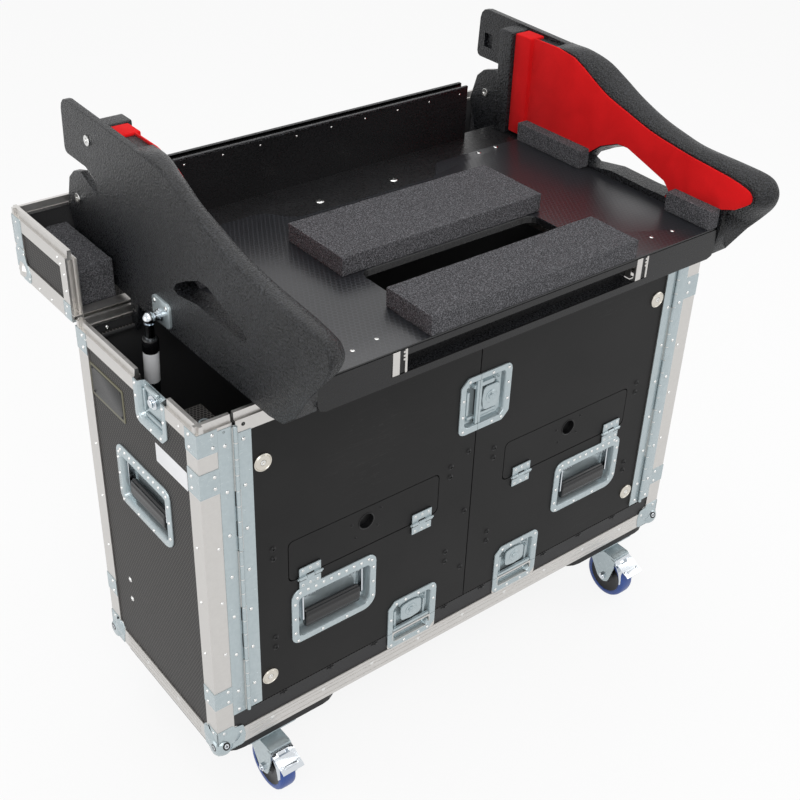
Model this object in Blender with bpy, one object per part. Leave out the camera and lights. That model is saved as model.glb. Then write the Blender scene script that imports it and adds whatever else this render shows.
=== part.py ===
"""Flight case for a mixing console, with doors, an open lid and a tray on gas springs.

Metres, +Z up, +X to the right of a person at the doors, +Y towards the lid. Heights in the
tables below count from the underside of the base box; CASTER_HEIGHT lifts the whole case so
that the wheels stand on z = 0.
"""
from math import atan2, cos, hypot, pi, radians, sin

import bmesh
import bpy
from mathutils import Matrix, Vector

# Base box
HALF_WIDTH = 0.536
HALF_DEPTH = 0.186
RIM_HEIGHT = 0.660
LIP_HEIGHT = 0.012
ANGLE = 0.033
SHEET = 0.002
GAP = 0.0003
PANEL_OUT = SHEET + GAP
PANEL_IN = 0.012
PANEL_TOP = 0.655
BALL_INSET = 0.0276
BALL_RADIUS = 0.033
BALL_SHEET = 0.0025
BALL_FACES = (20, 12)
CASTER_HEIGHT = 0.1443
CENTRE_SHIFT_Y = -0.004
LEFT = -1
RIGHT = 1

# Doors and flaps
DOOR_BOTTOM = 0.072
DOOR_EDGE = 0.001
HINGE_X = 0.475
HINGE_Y = -0.189
PIN_RADIUS = 0.0034
FLAP_HINGE_Z = 0.306
FLAP_HINGE_Y = -0.187
FLAP_TOP = 0.389
FLAP_PIN_RADIUS = 0.0026
FLAP_SPANS = {LEFT: (-0.386, -0.078), RIGHT: (0.075, 0.385)}
FLAP_HINGES = {LEFT: (-0.347, -0.114), RIGHT: (0.118, 0.351)}
FINGER_HOLE = {LEFT: -0.232, RIGHT: 0.232}

# Recessed hardware
DISH_FLANGE = 0.012
DISH_WALL = 0.0016
HANDLE_SIZE = (0.173, 0.119)
HANDLE_DEPTH = 0.018
DOOR_HANDLE_X = 0.297
DOOR_HANDLE_Z = 0.225
SIDE_HANDLE_Z = 0.4355
LATCH_DEPTH = 0.013
TOP_LATCH = (-0.042, 0.071, 0.451, 0.565)
BOTTOM_LATCH_X = {LEFT: -0.125, RIGHT: 0.128}
BOTTOM_LATCH_HALF = 0.055
BOTTOM_LATCH_Z = (0.034, 0.146)
SIDE_LATCH_Y = (-0.096, 0.0)
SIDE_LATCH_Z = (0.585, 0.668)
SIDE_LATCH_Y_INSET = (SIDE_LATCH_Y[0] + GAP, SIDE_LATCH_Y[1] - GAP)

# Lid, drawn open: its back lies flat and its top stands upright behind
LID_AXIS_Y = 0.1895
LID_AXIS_Z = 0.6555
LID_FLOOR = 0.659
LID_TOP = 0.773
LID_FRONT = 0.196
LID_REAR = 0.393
LID_FRONT_LIP = 0.0095
LID_GROOVE = 0.0125
LID_BALL_INSET = 0.018
LID_BALL_RADIUS = 0.024

# Tray
TRAY_PIVOT_Y = 0.165
TRAY_PIVOT_Z = 0.640
TRAY_OUTER = 0.446
TRAY_FELT = 0.410
TUBE_X = 0.4245
TUBE_RADIUS = 0.0213
TRAY_FLOOR = 0.762
TRAY_FRONT = -0.300
LINER = 0.003
CHANNEL_REACH = 0.313
RAIL_X = {LEFT: -0.268, RIGHT: 0.228}
RAIL_HALF = 0.0135
PAD_HALF = 0.212
PAD_TOP = 0.798

# Gas springs
BALL_Y = 0.061
BALL_Z = 0.710
ANCHOR_Y = 0.094
ANCHOR_Z = 0.168
STRUT_X = 0.470

# Casters
CASTER_X = 0.426
CASTER_Y = 0.142
CASTER_TRAIL = 0.040
WHEEL_RADIUS = 0.050
WHEEL_WIDTH = 0.032
PEDAL_LUG_Z = (-0.0430, -0.0392)
SKID_BOTTOM = -0.0163


def clear_scene():
    for item in list(bpy.data.objects):
        bpy.data.objects.remove(item, do_unlink=True)


def material(name, colour, roughness, metallic):
    made = bpy.data.materials.new(name)
    made.use_nodes = True
    shader = made.node_tree.nodes["Principled BSDF"]
    shader.inputs["Base Color"].default_value = (*colour, 1.0)
    shader.inputs["Roughness"].default_value = roughness
    shader.inputs["Metallic"].default_value = metallic
    return made


def from_bmesh(bm):
    bmesh.ops.recalc_face_normals(bm, faces=bm.faces)
    mesh = bpy.data.meshes.new("solid")
    bm.to_mesh(mesh)
    bm.free()
    made = bpy.data.objects.new("solid", mesh)
    bpy.context.scene.collection.objects.link(made)
    return made


def place(axis, along, first, second):
    """Point with the given coordinate on an axis and the other two in X, Y, Z order."""
    spots = {"X": (along, first, second), "Y": (first, along, second), "Z": (first, second, along)}
    return spots[axis]


def prism(outline, axis, low, high):
    bm = bmesh.new()
    near = [bm.verts.new(place(axis, low, u, v)) for u, v in outline]
    far = [bm.verts.new(place(axis, high, u, v)) for u, v in outline]
    bm.faces.new(near)
    bm.faces.new(far[::-1])
    count = len(outline)
    for i in range(count):
        j = (i + 1) % count
        bm.faces.new((near[i], near[j], far[j], far[i]))
    return from_bmesh(bm)


def box(xs, ys, zs):
    x0, x1 = sorted(xs)
    y0, y1 = sorted(ys)
    z0, z1 = sorted(zs)
    return prism([(x0, y0), (x1, y0), (x1, y1), (x0, y1)], "Z", z0, z1)


def circle(u, v, radius, count=24):
    turns = [2 * pi * (i + 0.5) / count for i in range(count)]
    return [(u + radius * cos(t), v + radius * sin(t)) for t in turns]


def cylinder(axis, u, v, radius, low, high, count=24):
    return prism(circle(u, v, radius, count), axis, min(low, high), max(low, high))


def rounded(u0, u1, v0, v1, radius, steps=4):
    """Rectangle outline with round corners."""
    centres = ((u1 - radius, v1 - radius), (u0 + radius, v1 - radius),
               (u0 + radius, v0 + radius), (u1 - radius, v0 + radius))
    points = []
    for corner, (cu, cv) in enumerate(centres):
        for i in range(steps + 1):
            turn = pi / 2 * (corner + i / steps)
            points.append((cu + radius * cos(turn), cv + radius * sin(turn)))
    return points


def lathe_x(profile, x, y, z, count=32):
    """Ring turned about an axis along X from (offset, radius) pairs."""
    bm = bmesh.new()
    rings = []
    for i in range(count):
        turn = 2 * pi * i / count
        rings.append([bm.verts.new((x + off, y + r * cos(turn), z + r * sin(turn)))
                      for off, r in profile])
    size = len(profile)
    for i in range(count):
        here, there = rings[i], rings[(i + 1) % count]
        for k in range(size):
            m = (k + 1) % size
            bm.faces.new((here[k], here[m], there[m], there[k]))
    return from_bmesh(bm)


def ball(x, y, z, radius, around=14, rings=8):
    bm = bmesh.new()
    bmesh.ops.create_uvsphere(bm, u_segments=around, v_segments=rings, radius=radius)
    bmesh.ops.translate(bm, vec=(x, y, z), verts=bm.verts)
    return from_bmesh(bm)


def tube(points, radius, sides=12):
    """Round bar with flat ends along a path in one plane of constant X."""
    bm = bmesh.new()
    rings = []
    last = len(points) - 1
    for i, point in enumerate(points):
        ahead = Vector(points[min(i + 1, last)]) - Vector(points[max(i - 1, 0)])
        ahead.normalize()
        side = Vector((1.0, 0.0, 0.0))
        upper = ahead.cross(side)
        rings.append([bm.verts.new(Vector(point) + radius * (side * cos(t) + upper * sin(t)))
                      for t in (2 * pi * k / sides for k in range(sides))])
    for here, there in zip(rings, rings[1:]):
        for k in range(sides):
            m = (k + 1) % sides
            bm.faces.new((here[k], here[m], there[m], there[k]))
    bm.faces.new(rings[0])
    bm.faces.new(rings[-1][::-1])
    return from_bmesh(bm)


def smooth_path(points, steps=3):
    """Catmull-Rom curve through the given points."""
    padded = [points[0]] + list(points) + [points[-1]]
    made = []
    for a, b, c, d in zip(padded, padded[1:], padded[2:], padded[3:]):
        a, b, c, d = Vector(a), Vector(b), Vector(c), Vector(d)
        for i in range(steps):
            t = i / steps
            made.append(0.5 * (2 * b + (c - a) * t + (2 * a - 5 * b + 4 * c - d) * t * t
                               + (3 * b - a - 3 * c + d) * t * t * t))
    made.append(Vector(points[-1]))
    return made


def combine(target, tool, operation):
    modifier = target.modifiers.new("combine", "BOOLEAN")
    modifier.operation = operation
    modifier.solver = "EXACT"
    modifier.object = tool
    bpy.context.view_layer.update()
    graph = bpy.context.evaluated_depsgraph_get()
    mesh = bpy.data.meshes.new_from_object(target.evaluated_get(graph))
    target.modifiers.clear()
    target.data = mesh
    bpy.data.objects.remove(tool, do_unlink=True)


def weld(solids):
    first, *others = solids
    for other in others:
        combine(first, other, "UNION")
    return first


def cut(target, tools):
    for tool in tools:
        combine(target, tool, "DIFFERENCE")
    return target


def flatten(item):
    """Join neighbouring faces that lie in one plane."""
    bm = bmesh.new()
    bm.from_mesh(item.data)
    bmesh.ops.dissolve_limit(bm, angle_limit=radians(0.1), verts=bm.verts, edges=bm.edges)
    bmesh.ops.recalc_face_normals(bm, faces=bm.faces)
    bm.to_mesh(item.data)
    bm.free()


def turned(item, matrix):
    item.data.transform(matrix)
    return item


def finish(name, item, look, origin=(0.0, 0.0, 0.0), smooth=True):
    """Name a solid, give it its material and put its origin on its joint axis."""
    flatten(item)
    shift = Vector((0.0, CENTRE_SHIFT_Y, CASTER_HEIGHT))
    pivot = Vector(origin)
    item.data.transform(Matrix.Translation(-pivot))
    item.location = pivot + shift
    item.name = name
    item.data.name = name
    item.data.materials.clear()
    item.data.materials.append(look)
    if smooth:
        item.data.shade_smooth()
        item.data.set_sharp_from_angle(angle=radians(35))
    return item


class Face:
    """A wall seen from outside: u runs along it, v is height, w is depth into it."""

    def __init__(self, side):
        self.side = side

    def span(self, w):
        if self.side == 0:
            return -HALF_DEPTH + PANEL_OUT + w
        return self.side * (HALF_WIDTH - PANEL_OUT - w)

    def box(self, us, vs, ws):
        depth = [self.span(w) for w in ws]
        if self.side == 0:
            return box(us, depth, vs)
        return box(depth, us, vs)

    def plate(self, outline, ws):
        low, high = sorted(self.span(w) for w in ws)
        return prism(outline, "Y" if self.side == 0 else "X", low, high)

    def across(self, v, w, radius, us, count=16):
        """Round bar lying along u."""
        if self.side == 0:
            return cylinder("X", self.span(w), v, radius, *us, count)
        return cylinder("Y", self.span(w), v, radius, *us, count)

    def point(self, u, v, w):
        if self.side == 0:
            return (u, self.span(w), v)
        return (self.span(w), u, v)


FRONT = Face(0)


def well_sides(us, vs, open_left=False, open_right=False, open_top=False, open_bottom=False):
    flange = DISH_FLANGE
    u0 = us[0] + (SHEET if open_left else flange)
    u1 = us[1] - (SHEET if open_right else flange)
    v0 = vs[0] + (SHEET if open_bottom else flange)
    v1 = vs[1] - (SHEET if open_top else flange)
    return (u0, u1), (v0, v1)


def dish(face, us, vs, depth, **open_sides):
    """Pressed steel dish: a flange on the panel and a well sunk through it."""
    well_u, well_v = well_sides(us, vs, **open_sides)
    flange = face.plate(rounded(*us, *vs, 0.006, 3), (-SHEET, -GAP))
    well = face.plate(rounded(*well_u, *well_v, 0.005, 2), (-0.001, depth))
    inner_u = (well_u[0] + DISH_WALL, well_u[1] - DISH_WALL)
    inner_v = (well_v[0] + DISH_WALL, well_v[1] - DISH_WALL)
    hollow = face.plate(rounded(*inner_u, *inner_v, 0.004, 2), (-0.01, depth - DISH_WALL))
    return cut(weld([flange, well]), [hollow])


def dish_hole(face, us, vs, **open_sides):
    """Cutter for the panel behind a dish."""
    well_u, well_v = well_sides(us, vs, **open_sides)
    return face.box((well_u[0] - GAP, well_u[1] + GAP), (well_v[0] - GAP, well_v[1] + GAP),
                    (-0.01, 0.05))


def rim_outline(low=0.637):
    """Rim rail section as (depth, height): outer flange, flat top and raised lip."""
    top = RIM_HEIGHT
    return [(0.0, low), (0.0, top), (0.004, top), (0.005, top + LIP_HEIGHT),
            (0.011, top + LIP_HEIGHT), (0.012, top), (0.014, top), (0.014, PANEL_TOP + GAP),
            (SHEET, PANEL_TOP + GAP), (SHEET, low)]


def rim_along_y(side, y0, y1):
    outline = [(side * (HALF_WIDTH - d), z) for d, z in rim_outline()]
    return prism(outline, "Y", y0, y1)


def rim_along_x(front, x0, x1):
    sign = -1 if front else 1
    outline = [(sign * (HALF_DEPTH - d), z) for d, z in rim_outline()]
    return prism(outline, "X", min(x0, x1), max(x0, x1))


def ball_centre(x, y, z, inset):
    """Centre of the ball that rounds a lower corner at (x, y, z)."""
    return x - inset * (1 if x > 0 else -1), y - inset * (1 if y > 0 else -1), z + inset


def corner_ball(x, y, z, inset, radius):
    """Steel ball corner: a thin shell round the cut vertex, solid where it stands proud."""
    cx, cy, cz = ball_centre(x, y, z, inset)
    inner_x = x - SHEET * (1 if x > 0 else -1)
    inner_y = y - SHEET * (1 if y > 0 else -1)
    inner_z, high = z + SHEET, z + 0.1
    hollow = ball(cx, cy, cz, radius - BALL_SHEET, *BALL_FACES)
    combine(hollow, box((cx, inner_x), (cy, inner_y), (cz, inner_z)), "INTERSECT")
    rooms = [box((0, cx), (0, inner_y), (inner_z, high)),
             box((0, inner_x), (0, cy), (inner_z, high)),
             box((0, inner_x), (0, inner_y), (cz, high))]
    return cut(ball(cx, cy, cz, radius, *BALL_FACES), [hollow, *rooms])


def vertex_cutter(x, y, z, inset, radius):
    """What a corner of the box has outside its ball."""
    cx, cy, cz = ball_centre(x, y, z, inset)
    block = box((2 * x - cx, cx), (2 * y - cy, cy), (2 * z - cz, cz))
    return cut(block, [ball(cx, cy, cz, radius, *BALL_FACES)])


def base_vertex_cutters(depth):
    return [vertex_cutter(side * HALF_WIDTH, end * HALF_DEPTH, 0.0, BALL_INSET, BALL_RADIUS - depth)
            for side in (LEFT, RIGHT) for end in (-1, 1)]


def handle_span():
    half_u, half_v = HANDLE_SIZE[0] / 2, HANDLE_SIZE[1] / 2
    return half_u, half_v


def side_handle_area():
    half_u, half_v = handle_span()
    return (-half_u, half_u), (SIDE_HANDLE_Z - half_v, SIDE_HANDLE_Z + half_v)


def door_handle_area(side):
    half_u, half_v = handle_span()
    centre = side * DOOR_HANDLE_X
    return (centre - half_u, centre + half_u), (DOOR_HANDLE_Z - half_v, DOOR_HANDLE_Z + half_v)


def bottom_latch_span(side):
    centre = BOTTOM_LATCH_X[side]
    return centre - BOTTOM_LATCH_HALF, centre + BOTTOM_LATCH_HALF


def base_shell():
    wall_out = HALF_WIDTH - PANEL_OUT
    wall_in = HALF_WIDTH - PANEL_IN
    deep_out = HALF_DEPTH - PANEL_OUT
    deep_in = HALF_DEPTH - PANEL_IN
    parts = [box((-wall_out, wall_out), (-deep_out, deep_out), (PANEL_OUT, 0.014)),
             box((-wall_out, wall_out), (deep_in, deep_out), (PANEL_OUT, PANEL_TOP)),
             box((-wall_out, wall_out), (-deep_out, -deep_in), (PANEL_OUT, DOOR_BOTTOM - SHEET))]
    for side in (LEFT, RIGHT):
        parts.append(box((side * wall_in, side * wall_out), (-deep_out, deep_out),
                         (PANEL_OUT, PANEL_TOP)))
        parts.append(box((side * 0.478, side * wall_out), (-deep_out, -deep_in),
                         (PANEL_OUT, PANEL_TOP)))
        parts.append(box((side * 0.472, side * (wall_in + 0.002)), (-0.170, -0.088), (0.560, 0.636)))
        parts.append(box((side * 0.479, side * (wall_in + 0.002)), (-0.1765, -0.160), (0.560, 0.636)))
        parts.append(box((side * 0.519, side * (wall_in + 0.002)), (0.064, 0.124), (0.143, 0.193)))
        parts.append(cylinder("X", ANCHOR_Y, ANCHOR_Z, 0.0040, side * 0.461, side * 0.521))
        parts.append(cylinder("X", TRAY_PIVOT_Y, TRAY_PIVOT_Z, 0.0047, side * 0.437,
                              side * (wall_in + 0.002)))
    shell = weld(parts)
    holes = []
    for side in (LEFT, RIGHT):
        face = Face(side)
        holes.append(dish_hole(face, *side_handle_area()))
        holes.append(dish_hole(face, SIDE_LATCH_Y, SIDE_LATCH_Z, open_top=True))
        holes.append(face.box(SIDE_LATCH_Y, (SIDE_LATCH_Z[1] - 0.014, 0.7), (-0.01, 0.05)))
        keeper = bottom_latch_span(side)
        holes.append(dish_hole(FRONT, keeper, (BOTTOM_LATCH_Z[0], 0.0705), open_top=True))
    return cut(shell, holes + base_vertex_cutters(BALL_SHEET + GAP))


def lid_hinge_knuckles(owner):
    """Knuckle spans along X, alternating between base (0) and lid (1)."""
    length, count = 0.94, 5
    step = length / count
    spans = []
    for i in range(count):
        if i % 2 == owner:
            start = -length / 2 + i * step
            spans.append((start + GAP, start + step - GAP))
    return spans


def door_hinge_knuckles(owner):
    low, high, count = 0.078, 0.654, 5
    step = (high - low) / count
    return [(low + i * step + GAP, low + (i + 1) * step - GAP)
            for i in range(count) if i % 2 == owner]


def base_frame():
    parts = []
    for side in (LEFT, RIGHT):
        outer, inner = side * HALF_WIDTH, side * (HALF_WIDTH - SHEET)
        for end in (-1, 1):
            deep = end * HALF_DEPTH
            parts.append(box((outer, inner), (deep, deep - end * ANGLE), (0, RIM_HEIGHT - 0.001)))
            parts.append(box((outer, outer - side * ANGLE), (deep, deep - end * SHEET),
                             (0, RIM_HEIGHT - 0.001)))
            parts.append(box((outer, side * 0.1), (deep, deep - end * SHEET), (0, 0.036)))
            parts.append(box((outer, side * 0.1), (deep, deep - end * ANGLE), (0, SHEET)))
        parts.append(box((outer, inner), (-HALF_DEPTH, HALF_DEPTH), (0, 0.036)))
        parts.append(box((outer, outer - side * ANGLE), (-HALF_DEPTH, HALF_DEPTH), (0, SHEET)))
        parts.append(rim_along_y(side, -HALF_DEPTH, HALF_DEPTH))
        leg_in = HALF_WIDTH - PANEL_IN - GAP
        parts.append(box((side * (leg_in - SHEET + 0.0003), side * leg_in), (-0.170, 0.155),
                         (0.637, PANEL_TOP + 0.001)))
        parts.append(rim_along_x(True, side * 0.478, side * HALF_WIDTH))
        parts.append(box((side * 0.478, side * 0.504), (-HALF_DEPTH, -HALF_DEPTH + SHEET),
                         (0.076, 0.655)))
        for low, high in door_hinge_knuckles(0):
            parts.append(cylinder("Z", side * HINGE_X, HINGE_Y, PIN_RADIUS, low, high, 12))
            parts.append(box((side * HINGE_X, side * 0.480), (HINGE_Y + 0.0005, -0.184), (low, high)))
    parts.append(box((-0.2, 0.2), (-HALF_DEPTH, -HALF_DEPTH + SHEET), (0, 0.036)))
    parts.append(box((-0.2, 0.2), (-HALF_DEPTH, -HALF_DEPTH + ANGLE), (0, SHEET)))
    parts.append(box((-0.2, 0.2), (HALF_DEPTH, HALF_DEPTH - SHEET), (0, 0.036)))
    parts.append(box((-0.2, 0.2), (HALF_DEPTH, HALF_DEPTH - ANGLE), (0, SHEET)))
    parts.append(rim_along_x(False, -HALF_WIDTH, HALF_WIDTH))
    parts.append(box((-0.47, 0.47), (0.1855, 0.188), (0.628, 0.652)))
    for low, high in lid_hinge_knuckles(0):
        parts.append(cylinder("X", LID_AXIS_Y, LID_AXIS_Z, 0.0032, low, high, 12))
        parts.append(box((low, high), (0.1855, 0.1895), (0.650, 0.6555)))
    frame = cut(weld(parts), base_vertex_cutters(SHEET))
    below = box((-1, 1), (-1, 1), (-0.1, 0))
    for side in (LEFT, RIGHT):
        for end in (-1, 1):
            corner = corner_ball(side * HALF_WIDTH, end * HALF_DEPTH, 0.0, BALL_INSET, BALL_RADIUS)
            combine(frame, corner, "UNION")
    frame = cut(frame, [below])
    gaps = [Face(side).box(SIDE_LATCH_Y, (SIDE_LATCH_Z[0], 0.7), (-0.01, 0.03))
            for side in (LEFT, RIGHT)]
    for side in (LEFT, RIGHT):
        u0, u1 = bottom_latch_span(side)
        gaps.append(FRONT.box((u0 + 0.002, u1 - 0.002), (BOTTOM_LATCH_Z[0] + 0.001, 0.05), (-0.01, -GAP)))
    cut(frame, gaps)
    for side in (LEFT, RIGHT):
        keeper = dish(FRONT, bottom_latch_span(side), (BOTTOM_LATCH_Z[0], 0.0705), LATCH_DEPTH,
                      open_top=True)
        combine(frame, keeper, "UNION")
    return frame


def door(side):
    inner, outer = side * DOOR_EDGE, side * 0.473
    panel = FRONT.box(sorted((inner, outer)), (DOOR_BOTTOM, PANEL_TOP), (0, 0.0097))
    u0, u1 = FLAP_SPANS[side]
    holes = [dish_hole(FRONT, *door_handle_area(side)),
             dish_hole(FRONT, bottom_latch_span(side), (DOOR_BOTTOM, BOTTOM_LATCH_Z[1]), open_bottom=True),
             FRONT.plate(rounded(u0 - 0.0015, u1 + 0.0015, 0.306, FLAP_TOP + 0.0015, 0.010, 3),
                         (-0.01, 0.05))]
    if side == RIGHT:
        holes.append(dish_hole(FRONT, (DOOR_EDGE, TOP_LATCH[1]), TOP_LATCH[2:], open_left=True))
    else:
        holes.append(dish_hole(FRONT, (TOP_LATCH[0], -DOOR_EDGE), TOP_LATCH[2:], open_right=True))
    cut(panel, holes)
    for centre in FLAP_HINGES[side]:
        combine(panel, FRONT.box((centre - 0.021, centre + 0.021), (0.285, 0.303), (-SHEET, 0.001)), "UNION")
        for low, high in ((-0.021, -0.008), (0.008, 0.021)):
            arm = FRONT.box((centre + low, centre + high), (0.300, 0.3058), (-0.0033, 0.0005))
            pin = cylinder("X", FLAP_HINGE_Y, FLAP_HINGE_Z, FLAP_PIN_RADIUS, centre + low, centre + high, 12)
            combine(panel, weld([arm, pin]), "UNION")
    return panel


def door_trim(side):
    """Door's own length of rim rail, its half of the long hinge and, on the left, the top keeper."""
    parts = [rim_along_x(True, side * DOOR_EDGE, side * 0.4725),
             box((side * DOOR_EDGE, side * 0.4725), (-0.1737, -0.172), (0.637, PANEL_TOP + 0.001)),
             box((side * 0.447, side * 0.472), (-HALF_DEPTH, -HALF_DEPTH + SHEET), (0.076, 0.640))]
    for low, high in door_hinge_knuckles(1):
        parts.append(cylinder("Z", side * HINGE_X, HINGE_Y, PIN_RADIUS, low, high, 12))
        parts.append(box((side * 0.470, side * HINGE_X), (HINGE_Y + 0.0005, -0.184), (low, high)))
    return weld(parts)


def flap(side):
    u0, u1 = FLAP_SPANS[side]
    panel = FRONT.plate(rounded(u0, u1, 0.308, FLAP_TOP, 0.010, 3), (0, 0.0097))
    hole = FRONT.plate(circle(FINGER_HOLE[side], 0.361, 0.015, 20), (-0.01, 0.05))
    cut(panel, [hole])
    for centre in FLAP_HINGES[side]:
        leaf = FRONT.box((centre - 0.021, centre + 0.021), (0.3095, 0.327), (-SHEET, 0.001))
        arm = FRONT.box((centre - 0.0075, centre + 0.0075), (0.3062, 0.312), (-0.0033, 0.0005))
        pin = cylinder("X", FLAP_HINGE_Y, FLAP_HINGE_Z, FLAP_PIN_RADIUS, centre - 0.0075, centre + 0.0075, 12)
        combine(panel, weld([leaf, arm, pin]), "UNION")
    return panel


def wing(face, u, v, length, width):
    """Butterfly wing on a round hub that turns in the latch dish."""
    floor = LATCH_DEPTH - DISH_WALL - GAP
    hub = face.plate(circle(u, v, 0.010, 20), (0.002, floor))
    blade = face.plate(rounded(u - length / 2, u + length / 2, v - width / 2, v + width / 2, 0.008, 3),
                       (0.001, 0.004))
    return weld([hub, blade])


def grip(face, u, v):
    """Sprung bail handle hanging in its dish."""
    pivot_v, bar_v, depth = v + 0.032, v - 0.012, 0.0085
    reach = 0.062
    parts = [face.across(bar_v, depth, 0.0078, (u - reach, u + reach)),
             face.across(pivot_v, depth, 0.0035, (u - 0.0725, u + 0.0725), 12)]
    for end in (-1, 1):
        edge = u + end * reach
        parts.append(face.box((edge - 0.002, edge + 0.002), (bar_v - 0.005, pivot_v + 0.003),
                              (depth - 0.0045, depth + 0.0045)))
    return weld(parts), face.point(u, pivot_v, depth)


def lid_section(flip):
    """Rim section with its lip, turned so that depth and height map to the lid's top edges."""
    return [flip(d, h - RIM_HEIGHT) for d, h in rim_outline()]


def lid_groove(flip):
    """Section of the lid's front edge: the base rim's lip enters the groove when the lid is shut."""
    outline = [(0.0, -0.023), (0.0, 0.0), (0.0036, 0.0), (0.0036, -LID_GROOVE), (0.0124, -LID_GROOVE),
               (0.0124, 0.0), (0.0143, 0.0), (0.0143, LID_FRONT_LIP), (0.0158, LID_FRONT_LIP),
               (0.0158, -LID_GROOVE - 0.0015), (SHEET, -LID_GROOVE - 0.0015), (SHEET, -0.023)]
    return [flip(d, h) for d, h in outline]


def lid_shell():
    wall_out, wall_in = HALF_WIDTH - PANEL_OUT, HALF_WIDTH - PANEL_IN
    front, top = LID_FRONT + LID_GROOVE + 0.0018, LID_TOP - 0.005
    parts = [box((-wall_out, wall_out), (front, LID_REAR - PANEL_OUT),
                 (LID_FLOOR + PANEL_OUT, LID_FLOOR + PANEL_IN)),
             box((-wall_out, wall_out), (LID_REAR - PANEL_IN, LID_REAR - PANEL_OUT),
                 (LID_FLOOR + PANEL_OUT, top))]
    for side in (LEFT, RIGHT):
        parts.append(box((side * wall_in, side * wall_out), (front, LID_REAR - PANEL_OUT),
                         (LID_FLOOR + PANEL_OUT, top)))
    return weld(parts)


def lid_frame():
    floor_front = lid_groove(lambda d, h: (LID_FRONT - h, LID_FLOOR + d))
    rear_top = lid_section(lambda d, h: (LID_REAR - d, LID_TOP + h))
    parts = [prism(floor_front, "X", -HALF_WIDTH, HALF_WIDTH),
             prism(rear_top, "X", -HALF_WIDTH, HALF_WIDTH),
             box((-HALF_WIDTH, HALF_WIDTH), (LID_REAR - ANGLE, LID_REAR), (LID_FLOOR, LID_FLOOR + SHEET)),
             box((-HALF_WIDTH, HALF_WIDTH), (LID_REAR - SHEET, LID_REAR), (LID_FLOOR, LID_FLOOR + ANGLE))]
    for side in (LEFT, RIGHT):
        outer, inner, reach = side * HALF_WIDTH, side * (HALF_WIDTH - SHEET), side * (HALF_WIDTH - ANGLE)
        end_front = lid_groove(lambda d, h: (side * (HALF_WIDTH - d), LID_FRONT - h))
        end_top = lid_section(lambda d, h: (side * (HALF_WIDTH - d), LID_TOP + h))
        parts.append(prism(end_front, "Z", LID_FLOOR, LID_TOP))
        parts.append(prism(end_top, "Y", LID_FRONT, LID_REAR))
        parts.append(box((outer, reach), (LID_FRONT, LID_REAR), (LID_FLOOR, LID_FLOOR + SHEET)))
        parts.append(box((outer, inner), (LID_FRONT, LID_REAR), (LID_FLOOR, LID_FLOOR + ANGLE)))
        parts.append(box((outer, inner), (LID_REAR - ANGLE, LID_REAR), (LID_FLOOR, LID_TOP)))
        parts.append(box((outer, reach), (LID_REAR - SHEET, LID_REAR), (LID_FLOOR, LID_TOP)))
    parts.append(box((-0.47, 0.47), (0.197, 0.215), (0.6568, LID_FLOOR + 0.0005)))
    for low, high in lid_hinge_knuckles(1):
        parts.append(cylinder("X", LID_AXIS_Y, LID_AXIS_Z, 0.0032, low, high, 12))
        parts.append(box((low, high), (0.1905, 0.198), (0.6568, 0.6585)))
    frame = weld(parts)
    for side in (LEFT, RIGHT):
        centre = ball_centre(side * HALF_WIDTH, LID_REAR, LID_FLOOR, LID_BALL_INSET)
        room = box((-HALF_WIDTH + SHEET, HALF_WIDTH - SHEET), (0.0, LID_REAR - SHEET),
                   (LID_FLOOR + SHEET, 0.8))
        combine(frame, cut(ball(*centre, LID_BALL_RADIUS), [room]), "UNION")
    return frame


def lid_foam(side):
    return box((side * 0.449, side * 0.5235), (0.214, LID_REAR - PANEL_IN - GAP),
               (LID_FLOOR + PANEL_IN + GAP, 0.740))


def tray_outline():
    """Side panel seen from the side as (y, z), below the padded top bar."""
    return [(0.334, 0.966), (0.352, 0.954), (0.358, 0.871), (0.284, 0.870), (0.255, 0.858),
            (0.246, 0.833), (0.262, 0.838), (0.304, 0.855), (0.334, 0.846), (0.352, 0.830),
            (0.369, 0.778), (0.345, 0.707), (0.330, 0.692), (0.130, 0.685), (-0.234, 0.685),
            (-0.269, 0.691), (-0.298, 0.716), (-0.334, 0.769), (-0.368, 0.812), (-0.379, 0.840),
            (-0.372, 0.862), (-0.351, 0.870), (-0.225, 0.870), (-0.176, 0.878), (-0.125, 0.890),
            (-0.070, 0.910), (-0.020, 0.934), (0.020, 0.950), (0.069, 0.958)]


def tray_bar(side):
    """Padded bar along the panel's top, its knuckle at the front and its short fall."""
    top = [(0.150, 0.944), (0.069, 0.946), (0.030, 0.944), (-0.004, 0.933), (-0.036, 0.918),
           (-0.077, 0.902), (-0.114, 0.888), (-0.150, 0.876), (-0.190, 0.868), (-0.240, 0.865),
           (-0.364, 0.864)]
    tip = (-0.3695, 0.854)
    fall = [tip, (-0.362, 0.832), (-0.340, 0.799)]
    x = side * TUBE_X
    return [tube(smooth_path([(x, y, z) for y, z in top], 2), TUBE_RADIUS),
            ball(x, *tip, TUBE_RADIUS + 0.0002),
            tube([(x, y, z) for y, z in fall], TUBE_RADIUS)]


def window_outline():
    """Slot through the side panel under the bar."""
    return [(0.020, 0.772), (0.012, 0.784), (-0.020, 0.803), (-0.058, 0.820), (-0.080, 0.821),
            (-0.125, 0.807), (-0.172, 0.794), (-0.184, 0.786), (-0.178, 0.776), (-0.130, 0.775),
            (-0.050, 0.777), (0.008, 0.767)]


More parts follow.
